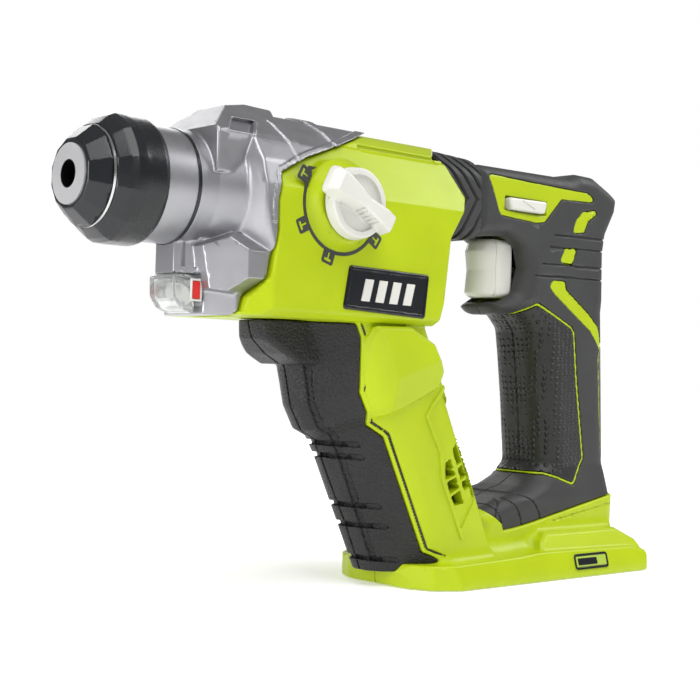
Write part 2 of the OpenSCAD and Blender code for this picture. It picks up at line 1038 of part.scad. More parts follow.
module trigger_spring() {
    color([0.7, 0.7, 0.72])
        translate([-0.8, 0, trigger_z])
            rotate([0, 90, 0])
                spring(5, 0.5, trigger_spring_length, 5);
}

module switch_module() {
    color([0.2, 0.2, 0.22])
        difference() {
            space(switch_x, 10, switch_z);
            translate([switch_x[0] - 1, 0, trigger_z])
                rotate([0, 90, 0])
                    cylinder(r = stem_r + 0.3, h = 12, $fn = small_fn);
        }
}

module direction_button() {
    color([0.85, 0.85, 0.82])
        difference() {
            space(around(button_x, button_length / 2), button_half_w, around(button_z, button_h / 2));
            translate([button_x - 2, -0.5, button_z + 1])
                cube([4, 1, 4]);
        }
}

module plate_at(sign) {
    intersection() {
        side(plate_side, body_half_w + 0.8);
        translate([-200, sign > 0 ? body_half_w : -body_half_w - 10, 0])
            cube([200, 10, 200]);
    }
}

module left_plate() {
    color([0.05, 0.05, 0.06])
        plate_at(-1);
}

module right_plate() {
    color([0.05, 0.05, 0.06])
        plate_at(1);
}

module foot_badges() {
    color([0.6, 0.72, 0.2])
        for (s = [0, 1])
            mirror([0, s, 0])
                translate([32, -foot_half_w, 6.5])
                    rotate([90, 0, 0])
                        linear_extrude(0.5)
                            polygon([
                                [-13, -2.5], [-11, -4], [11, -4], [13, -2.5],
                                [13, 2.5], [11, 4], [-11, 4], [-13, 2.5]
                            ]);
}

module terminal_block() {
    color([0.15, 0.15, 0.16])
        space([36, 52], 9, [battery_top_z - terminal_h, battery_top_z]);
}

module contact_blades() {
    color([0.8, 0.65, 0.3])
        for (y = [-6, 5])
            translate([40, y, battery_top_z - terminal_h - blade_h])
                cube([8, 1, blade_h]);
}

dust_cap();
accent_ring();
chuck_sleeve();
tool_holder();
locking_balls();
spring_seat();
retaining_ring();
sleeve_spring();
neck_collar();
neck_seal();
front_bearing();
rear_bearing();
spindle_gear();
impact_bolt();
striker();
piston();
wobble_ring();
layshaft();
bevel_gear();
layshaft_bearings();
gear_housing();
gear_frame();
gear_case_screws();
headlight_lens();
led_module();
motor_case();
motor_magnets();
motor_mount();
motor_bearings();
rotor_shaft();
rotor_core();
commutator();
brush_holder();
carbon_brushes();
cooling_fan();
motor_pinion();
left_housing();
right_housing();
housing_screws();
front_overmold();
grip_overmold();
bellows();
mode_dial();
mode_knob();
selector_cam();
trigger();
trigger_spring();
switch_module();
direction_button();
left_plate();
right_plate();
foot_badges();
terminal_block();
contact_blades();
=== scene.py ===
import json
import math

import bpy
import numpy as np
import openvdb
from mathutils import Matrix, Vector

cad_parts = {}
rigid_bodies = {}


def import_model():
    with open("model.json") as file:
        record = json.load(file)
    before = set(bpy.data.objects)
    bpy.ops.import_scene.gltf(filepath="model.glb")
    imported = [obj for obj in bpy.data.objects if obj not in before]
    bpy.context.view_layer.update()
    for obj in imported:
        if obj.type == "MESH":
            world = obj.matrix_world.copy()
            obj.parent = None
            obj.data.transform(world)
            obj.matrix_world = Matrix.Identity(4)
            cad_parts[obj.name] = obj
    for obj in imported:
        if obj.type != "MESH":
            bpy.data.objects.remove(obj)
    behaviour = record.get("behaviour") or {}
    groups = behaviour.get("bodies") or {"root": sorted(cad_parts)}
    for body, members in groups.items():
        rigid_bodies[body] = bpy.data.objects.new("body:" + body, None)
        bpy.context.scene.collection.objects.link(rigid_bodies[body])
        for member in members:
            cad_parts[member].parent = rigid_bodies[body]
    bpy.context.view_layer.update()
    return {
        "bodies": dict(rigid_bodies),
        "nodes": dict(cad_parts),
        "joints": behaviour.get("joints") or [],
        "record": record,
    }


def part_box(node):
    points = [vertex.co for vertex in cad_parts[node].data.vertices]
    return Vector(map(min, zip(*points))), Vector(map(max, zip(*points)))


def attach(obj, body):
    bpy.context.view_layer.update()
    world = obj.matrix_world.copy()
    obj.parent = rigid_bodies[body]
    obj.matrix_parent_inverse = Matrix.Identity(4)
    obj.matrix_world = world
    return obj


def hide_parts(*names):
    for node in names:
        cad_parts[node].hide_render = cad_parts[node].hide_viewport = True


# A cordless rotary hammer. Lengths are in millimetres until a mesh is made, and Z = 0 is the ground.
# Every moulded shell is a signed distance field: less than 0 inside, with its surface at 0.

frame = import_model()

MM = 0.001


def cad(node):
    """Lowest and highest corner of a CAD node, in millimetres."""
    low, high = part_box(node)
    return [v / MM for v in low], [v / MM for v in high]


# ---------- driving sizes, from the frame ----------

HOLDER_LOW, HOLDER_HIGH = cad("tool_holder")
NOSE_X = HOLDER_LOW[0]
AXIS_Z = (HOLDER_LOW[2] + HOLDER_HIGH[2]) / 2
NECK_R = (cad("neck_collar")[1][2] - cad("neck_collar")[0][2]) / 2
BODY_HALF_W = -cad("mode_dial")[1][1]
BODY_TOP = 198.6
BODY_FLOOR = 115.3
SOCKET_R = 5.3
KNOB_FACE = 11.4
BOSS_H = 5.6
BOSS_TAPER = 0.55
KNOB_X = (cad("mode_dial")[0][0] + cad("mode_dial")[1][0]) / 2
KNOB_Z = (cad("mode_dial")[0][2] + cad("mode_dial")[1][2]) / 2
MOTOR_LEAN = math.radians(26)
MOTOR_X = -114.6
MOTOR_Z = 131.0
COLUMN_HALF_W = 28.0
GRIP_HALF_W = 18.5
FOOT_HALF_W = 37.0
RUBBER_T = 4.0
GAP = 0.45

# ---------- fields ----------


def blend_min(a, b, k):
    """Union of two fields with a fillet about k wide."""
    h = np.maximum(k - np.abs(a - b), 0) / k
    return np.minimum(a, b) - h * h * k / 4


def blend_max(a, b, k):
    """Intersection of two fields with an edge rounded about k wide."""
    return -blend_min(-a, -b, k)


def round_max(a, b, r):
    """Intersection of two fields with a true radius r along the edge they share."""
    corner = np.hypot(np.maximum(a + r, 0), np.maximum(b + r, 0))
    return corner + np.minimum(np.maximum(a + r, b + r), 0) - r


def bevel_max(a, b, c):
    """Intersection of two fields with a flat chamfer."""
    return np.maximum(np.maximum(a, b), (a + b + c) * 0.7071)


def cut(field, tool):
    """One field with another taken out of it."""
    return np.maximum(field, -tool)


def left_only(field):
    """The part of a field at Y < 0."""
    return lambda x, y, z: np.maximum(field(x, y, z), y)


def right_only(field):
    """The part of a field at Y > 0."""
    return lambda x, y, z: np.maximum(field(x, y, z), -y)


def sink(surface, region, depth):
    """Lowers a region of a surface by depth."""
    return np.maximum(surface, np.minimum(-region, surface + depth))


def lift(surface, region, height):
    """Raises a region of a surface by height."""
    return np.minimum(surface, np.maximum(region, surface - height))


def box_field(x, y, z, low, high):
    """Distance to a box given by its corners."""
    gx = np.maximum(low[0] - x, x - high[0])
    gy = np.maximum(low[1] - y, y - high[1])
    gz = np.maximum(low[2] - z, z - high[2])
    return np.maximum(np.maximum(gx, gy), gz)


def outline(u, v, points):
    """Signed distance to a closed outline."""
    nearest = None
    inside = None
    for a, b in zip(points, points[1:] + points[:1]):
        du = b[0] - a[0]
        dv = b[1] - a[1]
        wu = u - a[0]
        wv = v - a[1]
        share = np.clip((wu * du + wv * dv) / (du * du + dv * dv), 0, 1)
        gap = (wu - share * du) ** 2 + (wv - share * dv) ** 2
        side = du * wv - dv * wu
        passed = ((v >= a[1]) & (v < b[1]) & (side > 0)) | ((v < a[1]) & (v >= b[1]) & (side < 0))
        nearest = gap if nearest is None else np.minimum(nearest, gap)
        inside = passed if inside is None else inside ^ passed
    return np.where(inside, -1, 1) * np.sqrt(nearest)


def trace(u, v, points):
    """Distance to an open line."""
    nearest = None
    for a, b in zip(points[:-1], points[1:]):
        du = b[0] - a[0]
        dv = b[1] - a[1]
        share = np.clip(((u - a[0]) * du + (v - a[1]) * dv) / (du * du + dv * dv), 0, 1)
        gap = (u - a[0] - share * du) ** 2 + (v - a[1] - share * dv) ** 2
        nearest = gap if nearest is None else np.minimum(nearest, gap)
    return np.sqrt(nearest)


def fillet(points, radius, steps=4):
    """The outline with an arc at each corner, no longer than half the shorter edge beside it."""
    result = []
    for i, here in enumerate(points):
        here = np.array(here, float)
        back = np.array(points[i - 1], float) - here
        on = np.array(points[(i + 1) % len(points)], float) - here
        back_len = np.linalg.norm(back)
        on_len = np.linalg.norm(on)
        back /= back_len
        on /= on_len
        half = math.acos(max(-1.0, min(1.0, float(back @ on)))) / 2
        if half > 1.5:
            result.append(tuple(here))
            continue
        run = min(radius / math.tan(half), 0.48 * back_len, 0.48 * on_len)
        start = here + back * run
        end = here + on * run
        for k in range(steps + 1):
            t = k / steps
            result.append(tuple((1 - t) ** 2 * start + 2 * t * (1 - t) * here + t * t * end))
    return result


def column_axes(x, z):
    """Distance down the motor's axis, and across it towards the nose."""
    s = math.sin(MOTOR_LEAN)
    c = math.cos(MOTOR_LEAN)
    down = (x - MOTOR_X) * s + (MOTOR_Z - z) * c
    front = (MOTOR_X - x) * c + (MOTOR_Z - z) * s
    return down, front


# ---------- meshes ----------


def slope(field, points, reach):
    """Value and gradient of a field at points."""
    x, y, z = (points[:, i] for i in range(3))
    parts = []
    for axis in range(3):
        step = [0.0, 0.0, 0.0]
        step[axis] = reach
        ahead = field(x + step[0], y + step[1], z + step[2])
        behind = field(x - step[0], y - step[1], z - step[2])
        parts.append((ahead - behind) / (2 * reach))
    return field(x, y, z), np.stack(parts, axis=1)


def mesh_of(name, field, low, high, step, thin=0.0):
    """A closed mesh of a field's surface, its points drawn onto the surface and shaded by its slope."""
    axes = [np.arange(low[i], high[i] + step, step, dtype=np.float32) for i in range(3)]
    grid_xyz = [axes[0][:, None, None], axes[1][None, :, None], axes[2][None, None, :]]
    values = np.broadcast_to(field(*grid_xyz), [len(a) for a in axes])
    reach = 3 * step
    values = np.ascontiguousarray(np.clip(values, -reach, reach), dtype=np.float32)
    grid = openvdb.FloatGrid(reach)
    grid.copyFromArray(values, tolerance=0)
    points, tris, quads = grid.convertToPolygons(isovalue=0.0, adaptivity=thin)
    points = points.astype(np.float64) * step + np.array([axes[i][0] for i in range(3)], float)
    value, grad = slope(field, points, 0.15 * step)
    size = np.maximum((grad * grad).sum(axis=1, keepdims=True), 0.25)
    points -= np.clip(value[:, None] * grad / size, -0.4 * step, 0.4 * step)
    grad = slope(field, points, 0.5 * step)[1]
    length = np.linalg.norm(grad, axis=1, keepdims=True)
    normals = np.where(length > 0.2, grad / np.maximum(length, 1e-6), (0, 0, 1))
    faces = quads.tolist() + tris.tolist()
    data = bpy.data.meshes.new(name)
    data.from_pydata(points * MM, [], faces)
    data.update()
    data.shade_smooth()
    data.normals_split_custom_set_from_vertices(normals)
    piece = bpy.data.objects.new(name, data)
    bpy.context.scene.collection.objects.link(piece)
    return piece


def place(piece, body, slot, material, *nodes):
    """Parents a piece to what it moves with, hides the nodes it stands in for and gives it what it is made
    of.
    """
    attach(piece, body)
    if nodes:
        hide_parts(*nodes)
    piece.data.materials.clear()
    piece.data.materials.append(material)
    return piece


# ---------- materials ----------


def surface(
    name, colour, rough, metal=0.0, coat=0.0, shade=0.12, grain=(900, 0.05), wave=40, edge=None, shine=0.5
):
    """A moulded or worked surface: mottled colour, uneven gloss and a fine grain."""
    material = bpy.data.materials.new(name)
    material.use_nodes = True
    nodes = material.node_tree.nodes
    links = material.node_tree.links
    shader = nodes["Principled BSDF"]
    shader.inputs["Metallic"].default_value = metal
    shader.inputs["Coat Weight"].default_value = coat
    shader.inputs["Specular IOR Level"].default_value = shine
    shader.inputs["Coat Roughness"].default_value = 0.12
    place_node = nodes.new("ShaderNodeTexCoord")
    mottle = nodes.new("ShaderNodeTexNoise")
    mottle.inputs["Scale"].default_value = wave
    mottle.inputs["Detail"].default_value = 4
    links.new(place_node.outputs["Object"], mottle.inputs["Vector"])
    ramp = nodes.new("ShaderNodeValToRGB")
    dark = [c * (1 - shade) for c in colour] + [1]
    light = [min(1, c * (1 + shade)) for c in colour] + [1]
    ramp.color_ramp.elements[0].position = 0.3
    ramp.color_ramp.elements[0].color = dark
    ramp.color_ramp.elements[1].position = 0.7
    ramp.color_ramp.elements[1].color = light
    links.new(mottle.outputs["Fac"], ramp.inputs["Fac"])
    out_colour = ramp.outputs["Color"]
    if edge is not None:
        # edges rubbed lighter by handling
        geometry = nodes.new("ShaderNodeNewGeometry")
        worn = nodes.new("ShaderNodeMapRange")
        worn.inputs["From Min"].default_value = 0.53
        worn.inputs["From Max"].default_value = 0.62
        worn.inputs["To Max"].default_value = 0.55
        links.new(geometry.outputs["Pointiness"], worn.inputs["Value"])
        mix = nodes.new("ShaderNodeMix")
        mix.data_type = "RGBA"
        links.new(worn.outputs["Result"], mix.inputs["Factor"])
        links.new(out_colour, mix.inputs["A"])
        mix.inputs["B"].default_value = list(edge) + [1]
        out_colour = mix.outputs["Result"]
    links.new(out_colour, shader.inputs["Base Color"])
    gloss = nodes.new("ShaderNodeMapRange")
    gloss.inputs["To Min"].default_value = rough * 0.82
    gloss.inputs["To Max"].default_value = min(1, rough * 1.18)
    smear = nodes.new("ShaderNodeTexNoise")
    smear.inputs["Scale"].default_value = wave * 5
    smear.inputs["Detail"].default_value = 6
    links.new(place_node.outputs["Object"], smear.inputs["Vector"])
    links.new(smear.outputs["Fac"], gloss.inputs["Value"])
    links.new(gloss.outputs["Result"], shader.inputs["Roughness"])
    fine = nodes.new("ShaderNodeTexNoise")
    fine.inputs["Scale"].default_value = grain[0]
    fine.inputs["Detail"].default_value = 3
    links.new(place_node.outputs["Object"], fine.inputs["Vector"])
    bump = nodes.new("ShaderNodeBump")
    bump.inputs["Strength"].default_value = grain[1]
    bump.inputs["Distance"].default_value = 0.0004
    links.new(fine.outputs["Fac"], bump.inputs["Height"])
    links.new(bump.outputs["Normal"], shader.inputs["Normal"])
    return material


def dimples(material, scale, strength, distance):
    """Adds a pattern of small raised dots to a material's bump."""
    nodes = material.node_tree.nodes
    links = material.node_tree.links
    place_node = nodes["Texture Coordinate"]
    dots = nodes.new("ShaderNodeTexVoronoi")
    dots.inputs["Scale"].default_value = scale
    dots.inputs["Randomness"].default_value = 0.25
    links.new(place_node.outputs["Object"], dots.inputs["Vector"])
    dome = nodes.new("ShaderNodeMapRange")
    dome.inputs["From Min"].default_value = 0.12
    dome.inputs["From Max"].default_value = 0.42
    dome.inputs["To Min"].default_value = 1
    dome.inputs["To Max"].default_value = 0
    links.new(dots.outputs["Distance"], dome.inputs["Value"])
    raised = nodes.new("ShaderNodeBump")
    raised.inputs["Strength"].default_value = strength
    raised.inputs["Distance"].default_value = distance
    links.new(dome.outputs["Result"], raised.inputs["Height"])
    fine = nodes["Bump"]
    links.new(raised.outputs["Normal"], fine.inputs["Normal"])
    return material


def painted_bore_shade(material, axis_z, radius):
    """Paints shade on what lies within a radius of the tool's axis: the inside of the bore is coloured near
    black for the shade deep in it.
    """
    nodes = material.node_tree.nodes
    links = material.node_tree.links
    parts = nodes.new("ShaderNodeSeparateXYZ")
    links.new(nodes["Texture Coordinate"].outputs["Object"], parts.inputs["Vector"])
    joined = nodes.new("ShaderNodeCombineXYZ")
    links.new(parts.outputs["Y"], joined.inputs["Y"])
    level = nodes.new("ShaderNodeMath")
    level.operation = "SUBTRACT"
    level.inputs[1].default_value = axis_z
    links.new(parts.outputs["Z"], level.inputs[0])
    links.new(level.outputs["Value"], joined.inputs["Z"])
    across = nodes.new("ShaderNodeVectorMath")
    across.operation = "LENGTH"
    links.new(joined.outputs["Vector"], across.inputs[0])
    inside = nodes.new("ShaderNodeMapRange")
    inside.inputs["From Min"].default_value = radius
    inside.inputs["From Max"].default_value = radius * 1.03
    links.new(across.outputs["Value"], inside.inputs["Value"])
    shader = nodes["Principled BSDF"]
    before = shader.inputs["Base Color"].links[0].from_socket
    mix = nodes.new("ShaderNodeMix")
    mix.data_type = "RGBA"
    links.new(inside.outputs["Result"], mix.inputs["Factor"])
    mix.inputs["A"].default_value = (0.004, 0.004, 0.004, 1)
    links.new(before, mix.inputs["B"])
    links.new(mix.outputs["Result"], shader.inputs["Base Color"])
    return material


def leather(material, scale, strength):
    """Adds a pebbled leather grain to a material's bump."""
    nodes = material.node_tree.nodes
    links = material.node_tree.links
    place_node = nodes["Texture Coordinate"]
    cells = nodes.new("ShaderNodeTexVoronoi")
    cells.feature = "DISTANCE_TO_EDGE"
    cells.inputs["Scale"].default_value = scale
    links.new(place_node.outputs["Object"], cells.inputs["Vector"])
    crease = nodes.new("ShaderNodeMapRange")
    crease.inputs["From Max"].default_value = 0.2
    links.new(cells.outputs["Distance"], crease.inputs["Value"])
    raised = nodes.new("ShaderNodeBump")
    raised.inputs["Strength"].default_value = strength
    raised.inputs["Distance"].default_value = 0.0003
    links.new(crease.outputs["Result"], raised.inputs["Height"])
    links.new(raised.outputs["Normal"], nodes["Bump"].inputs["Normal"])
    return material


def clear(name):
    """Slightly frosted clear plastic."""
    material = surface(name, (0.93, 0.95, 0.94), 0.08, shade=0.02, grain=(300, 0.04))
    shader = material.node_tree.nodes["Principled BSDF"]
    shader.inputs["Transmission Weight"].default_value = 0.85
    shader.inputs["IOR"].default_value = 1.45
    return material


LIME = (0.395, 0.50, 0.003)
MATERIALS = {
    "green_plastic": surface(
        "lime_plastic", LIME, 0.36, shade=0.05, grain=(2600, 0.10), edge=(0.50, 0.63, 0.03), shine=0.3
    ),
    "cast_alloy": surface("cast_alloy", (0.37, 0.37, 0.39), 0.38, metal=0.9, shade=0.06, grain=(1800, 0.10)),
    "black_rubber": surface("chuck_rubber", (0.008, 0.009, 0.011), 0.24, shade=0.2, grain=(1500, 0.06)),
    "black_plastic": surface("black_plastic", (0.008, 0.009, 0.011), 0.27, shade=0.2, grain=(1500, 0.1)),
    "column_rubber": leather(
        surface("column_rubber", (0.013, 0.013, 0.014), 0.42, shade=0.2, grain=(2200, 0.25), shine=0.35),
        520, 0.6
    ),
    "grip_rubber": surface(
        "grip_rubber", (0.036, 0.037, 0.037), 0.5, grain=(2400, 0.3), edge=(0.07, 0.07, 0.075), shine=0.35
    ),
    "pale_plastic": surface("pale_plastic", (0.64, 0.635, 0.59), 0.33, shade=0.03, grain=(2400, 0.05)),
    "dial_print": surface("dial_print", (0.035, 0.038, 0.035), 0.5, shade=0.2),
    "plate_black": surface("plate_black", (0.006, 0.007, 0.010), 0.22, shade=0.3, grain=(1200, 0.04)),
    "badge_green": surface("badge_green", (0.34, 0.47, 0.05), 0.4, shade=0.08),
    "clear_lens": clear("clear_lens"),
    "lamp_red": surface("lamp_red", (0.62, 0.02, 0.015), 0.3, shade=0.15),
    "bright_ring": surface("bright_ring", (0.62, 0.62, 0.63), 0.22, metal=1, grain=(1400, 0.1)),
    "hard_steel": painted_bore_shade(
        surface("hard_steel", (0.52, 0.52, 0.53), 0.42, metal=0.55, shade=0.05, grain=(1400, 0.2)),
        AXIS_Z * MM, SOCKET_R * MM
    ),
    "polished_steel": surface("polished_steel", (0.75, 0.75, 0.77), 0.1, metal=1, shade=0.04),
    "dark_steel": surface("dark_steel", (0.08, 0.08, 0.085), 0.4, metal=0.9, grain=(1400, 0.2)),
    "spring_steel": surface("spring_steel", (0.5, 0.5, 0.52), 0.25, metal=1, grain=(1400, 0.1)),
    "alloy_piston": surface("alloy_piston", (0.6, 0.6, 0.61), 0.3, metal=1, grain=(1400, 0.15)),
    "zinc_steel": surface("zinc_steel", (0.56, 0.55, 0.5), 0.32, metal=1, grain=(1400, 0.15)),
    "copper": surface("copper", (0.68, 0.33, 0.17), 0.35, metal=1, grain=(2400, 0.4)),
    "carbon": surface("carbon", (0.03, 0.03, 0.032), 0.6, grain=(2600, 0.4)),
    "brass_contact": surface("brass_contact", (0.72, 0.55, 0.25), 0.28, metal=1, grain=(1400, 0.1)),
}
GRIP_PANEL = dimples(
    surface("grip_panel_rubber", (0.016, 0.017, 0.016), 0.42, shade=0.15, grain=(2400, 0.2), shine=0.4),
    330, 1.0, 0.0009
)
# the back panel is dark rubber; its mid grey, lighter than the rest of the grip, is painted sheen for the
# strong reflection on it
BACK_PANEL = dimples(
    surface("back_panel_rubber_painted_sheen", (0.12, 0.12, 0.122), 0.55, shade=0.1, grain=(2400, 0.2)), 330, 0.9, 0.0006
)

for part in frame["record"]["subparts"]:
    node = frame["nodes"][part["node"]]
    node.data.materials.clear()
    node.data.materials.append(MATERIALS[part["material_slot"]])

# ---------- outlines, seen from the side as X and Z unless it says otherwise ----------

SEAM = [
    (-98, 205), (-98, 198.6), (-118, 191), (-150, 179), (-163, 172), (-165.5, 160), (-165, 149),
    (-168, 131), (-171, 127), (-175, 122.5), (-176.5, 117), (-181, 112), (-181, 105),
]
BODY_SIDE = SEAM + [
    (-78, 105), (-76.5, 110), (-71.7, 125), (-68.4, 154), (-56.5, 173), (-62, 189), (-66, 205),
]
# half the body's cross-section as half-width and Z
BODY_SECTION = [
    (-8, BODY_FLOOR), (30, BODY_FLOOR), (BODY_HALF_W, BODY_FLOOR + 2.4), (BODY_HALF_W, 166.5), (21.6, 188.0),
    (20, 188.6), (19.2, 191.2), (13, 194.8), (6.5, 197.4), (0, BODY_TOP), (-8, 198),
]
# where the groove beside the crown starts and ends
CROWN_X = (-113, -67)
# how far forward the green floor reaches at each half-width
BOW = ([14, 20, 28, 33.5], [-185, -182, -174.5, -167])
COLUMN_SIDE = [
    (-156, 122), (-155, 115), (-152, 108), (-145, 100), (-136, 96), (-133.5, 88), (-131, 80), (-121, 65),
    (-112, 55), (-96, 28),
    (-86, 4), (-26, 4), (-40, 38), (-58, 83), (-64, 100), (-66, 122),
]
RUBBER_EDGE = [
    (-180, 115), (-116, 115), (-113, 109), (-110.5, 86), (-102.5, 72), (-95, 67), (-69.5, 16), (-55, 10),
    (-63, 6.5), (-100, 6.5), (-180, 6.5),
]
LUMP = [
    (-111.8, 107), (-110, 114), (-90, 114.5), (-75, 107.5), (-67.5, 96), (-69.5, 88), (-103.5, 73.2),
    (-109.8, 86),
]
VENT_PANEL = [
    (-63, 87), (-71, 79.5), (-73.5, 75.5), (-64.5, 60), (-63, 49), (-51, 26), (-42, 40), (-57, 80),
]
VENT_BORDER = [(-64.5, 89), (-72, 81), (-75.2, 76), (-66, 60), (-64.5, 48.6), (-51, 22)]
VENTS = [
    [(-60.8, 55.6), (-61.1, 49.7), (-57.8, 41.9), (-54.5, 36.2), (-48.9, 37.1), (-52.6, 46), (-58.2, 57.3)],
    [(-56.8, 61.9), (-54.7, 56.3), (-48.6, 42.6), (-44, 44.6), (-50.1, 55.4), (-54.2, 64)],
]
VENT_FINS = [
    [(-62, 46.6), (-54, 49.6)], [(-59, 40), (-51, 43.8)],
    [(-56.5, 52.4), (-50, 55)], [(-53, 46.2), (-46, 49)],
]
HANDLE_SIDE = [
    (-36, 192.6), (-36, 158.5), (-13, 161.5), (-3, 157), (0, 147), (-4, 135), (-17, 128.5), (-12, 124),
    (3, 124.5),
    (11, 117), (13, 105), (16, 83), (19, 54), (14, 47), (5, 42), (-10, 38.5), (-33, 31), (-30, 18), (68, 18),
    (69, 48), (67, 84), (64, 135), (59.5, 158), (61, 167), (68, 179), (69.5, 187), (63, 190.5), (50, 196),
    (38, 196.2), (30, 193.4),
]
INLAY = [
    (-30.5, 188.3), (9, 187.4), (43, 187), (48.5, 184.5), (46, 182.6), (23, 181.8), (11, 169.5), (5, 168.6),
    (-21, 170), (-27, 183),
]
PATCHES = [
    [(40, 177.5), (50, 179), (50, 176.4), (44, 173), (41, 167), (32, 166), (35, 173)],
    [(27, 158), (36, 159), (33, 151), (23, 151)],
    [
        (19, 142), (28, 142), (29, 138), (34, 135), (47, 127), (56, 120), (60, 112), (60, 108), (56, 111),
        (49, 118.5),
        (38, 125), (21, 135), (17, 138), (17, 140),
    ],
]
GRIP_LINES = [
    [(18, 164), (62, 165)], [(15, 158), (62, 159)], [(10, 149.5), (62, 150.5)], [(6, 143.5), (62, 144.5)],
]
GRIP_PANEL_SIDE = [
    (-24, 117), (-6, 121), (9, 130), (34, 119.5), (36, 117), (39, 93), (45.5, 55), (37, 42.5), (19, 48),
    (-24, 49),
]
BACK_PANEL_SIDE = [(60, 112), (57, 105), (59, 80), (62, 58), (66, 52), (80, 50), (80, 108)]
PEDESTAL = [(-33, 41), (-29, 34), (-17, 26), (-16, 21.5), (69, 37.5), (80, 36), (80, -5), (-60, -5)]
FOOT_SIDE = [
    (-76, 0), (-77.5, 3), (-76, 10.5), (-19, 12), (-5, 13), (10, 13), (66, 12), (76, 10), (82, 2), (81, 0),
]
FOOT_TOP = [
    (-58, 37), (-70, 30), (-75, 20), (-77, 8), (-77, -8), (-75, -20), (-70, -30), (-58, -37), (76, -37),
    (82, -31),
    (82, 31), (76, 37),
]
WINDOW = [(-178, 193), (-167, 193), (-172.5, 186.8), (-184, 186.8)]
# the chuck's outlines, as the distance behind the nose and the radius
CAP_PROFILE = [(0, 12.9), (0.9, 13.4), (7.2, 19.0), (8, 19.2)]
SLEEVE_PROFILE = [
    (8.9, 19.2), (9.4, 19.8), (13, 23.2), (15.5, 24.5), (19, 24.9), (27.5, 24.9), (29.3, 24.2), (30, 23.2),
]
LOBE_SIDE = [
    (-154.5, 118), (-154, 115), (-151, 107), (-144, 101), (-136, 96.8), (-112, 96.8), (-112, 118),
]
CAVITY_SIDE = [(-170, 118), (-75, 118), (-69, 130), (-64, 150), (-61, 160), (-61, 200), (-170, 200)]
COLUMN_SPACE = [(-140, 24), (0, 24), (0, 121), (-140, 121)]
CASE_SIDE = [
    (-175.5, 118), (-175.5, 206), (-165, 201.3), (-140, 200.4), (-97, 198.7), (-90, 198), (-90, 118),
]
CASE_TOP_BLOCK = [(-189, 170), (-189, 188), (-175.5, 199.2), (-165, 201.3), (-152, 200.6), (-160, 170)]
LENS_ROOM = [(-200, 130.9), (-200, 110), (-186.1, 110), (-186.1, 130.9)]
LENS_SIDE = [(-197, 130.6), (-196.6, 122), (-193.5, 117.5), (-189, 115.8), (-186.4, 115.4), (-186.4, 130.6)]
LENS_INSIDE = [(-194.6, 128.6), (-194, 122), (-190, 118.4), (-180, 118.2), (-180, 128.6)]
SCREWS = [(-70, 104), (-52, 18), (-5, 29), (44, 69), (70, 8), (58, 184)]

# half the gear housing's cross-section as half-width and Z
CASE_SECTION = [
    (-8, 113.7), (33.2, 113.7), (33.2, 166.5), (30.6, 176.5), (25, 185.5), (17, 193), (8, 198.4), (0, 200.2),
    (-8, 200.2),
]

BODY_SIDE_R = fillet(BODY_SIDE, 2)
CASE_SECTION_R = fillet(CASE_SECTION, 8)
AHEAD_OF_SEAM = [(-260, 210), (-98.6, 210)] + [(p[0] - GAP, p[1] - 0.1) for p in SEAM[1:-2]]
AHEAD_OF_SEAM += [(-181.4, 112), (-181.4, 105), (-260, 105)]
COLUMN_SIDE_R = fillet(COLUMN_SIDE, 5, steps=3)
BODY_SECTION_R = fillet(BODY_SECTION, 1.6)
HANDLE_R = fillet(HANDLE_SIDE, 4, steps=3)
LUMP_R = fillet(LUMP, 2, steps=2)
FOOT_SIDE_R = fillet(FOOT_SIDE, 2, steps=3)
FOOT_TOP_R = fillet(FOOT_TOP, 4, steps=3)
INLAY_R = fillet(INLAY, 2.5, steps=2)
PATCHES_R = [fillet(p, 1.5, steps=2) for p in PATCHES]
PANEL_R = fillet(GRIP_PANEL_SIDE, 2, steps=2)
BACK_PANEL_R = fillet(BACK_PANEL_SIDE, 3, steps=2)
RUBBER_EDGE_R = fillet(RUBBER_EDGE, 2, steps=2)

# ---------- the shells' outer surfaces ----------


def body_outer(x, y, z):
    """The green body before it is hollowed: a cross-section within a side outline."""
    half = np.abs(y)
    section = outline(half, z, BODY_SECTION_R)
    side = outline(x, z, BODY_SIDE_R)
    # the crown narrows to a tongue at its rear
    tongue = np.maximum(x + half + 49, 188 - z)
    side = np.minimum(side, np.maximum(tongue, -(x + 70)))
    side = np.maximum(side, np.where(z > 190, x + half + 49, -9))
    # the front of the floor narrows towards the chin
    bow = np.interp(half, BOW[0], BOW[1])
    side = np.maximum(side, (bow - x) * 0.7)
    side = np.maximum(side, GAP - trace(x, z, SEAM[1:-2]))
    body = round_max(section, side, 0.8)
    groove = trace(half, z, [(21.2, 188.2), (19.6, 189.6)]) - 1.0
    return cut(body, np.maximum(groove, np.maximum(CROWN_X[0] - x, x - CROWN_X[1])))


def column_section(x, y, z):
    """The motor column's cross-section: flat sides that close in to a rounded front."""
    down, front = column_axes(x, z)
    half = np.abs(y)
    bulge = np.interp(down, [20, 32, 41, 52, 58, 68, 126], [1.5, 4.0, 6.0, 5.2, 0.2, -0.8, -1.2])
    centre = 16 + bulge
    nose_r = 14.0
    tilt = math.radians(50)
    flat = (front - centre) * math.cos(tilt) + half * math.sin(tilt) - nose_r
    on_flat = half * math.cos(tilt) > (front - centre) * math.sin(tilt)
    nose = np.where(on_flat, flat, np.hypot(front - centre, half) - nose_r)
    shell = blend_max(half - COLUMN_HALF_W, nose, 4)
    corner = (-front - 26) * 0.78 + (half - COLUMN_HALF_W) * 0.62
    return blend_max(shell, corner, 3)


def column_outer(x, y, z):
    """The motor column, cut to its side outline."""
    return blend_max(column_section(x, y, z), outline(x, z, COLUMN_SIDE_R), 2)


def lobe_outer(x, y, z):
    """The rounded nose of rubber under the body's front."""
    slant = outline(x, z, LOBE_SIDE)
    half = np.abs(y)
    ball = np.where(x < -140, np.hypot(x + 140, half) - 14.2, half - 14.2)
    return blend_max(ball, slant, 2.5)


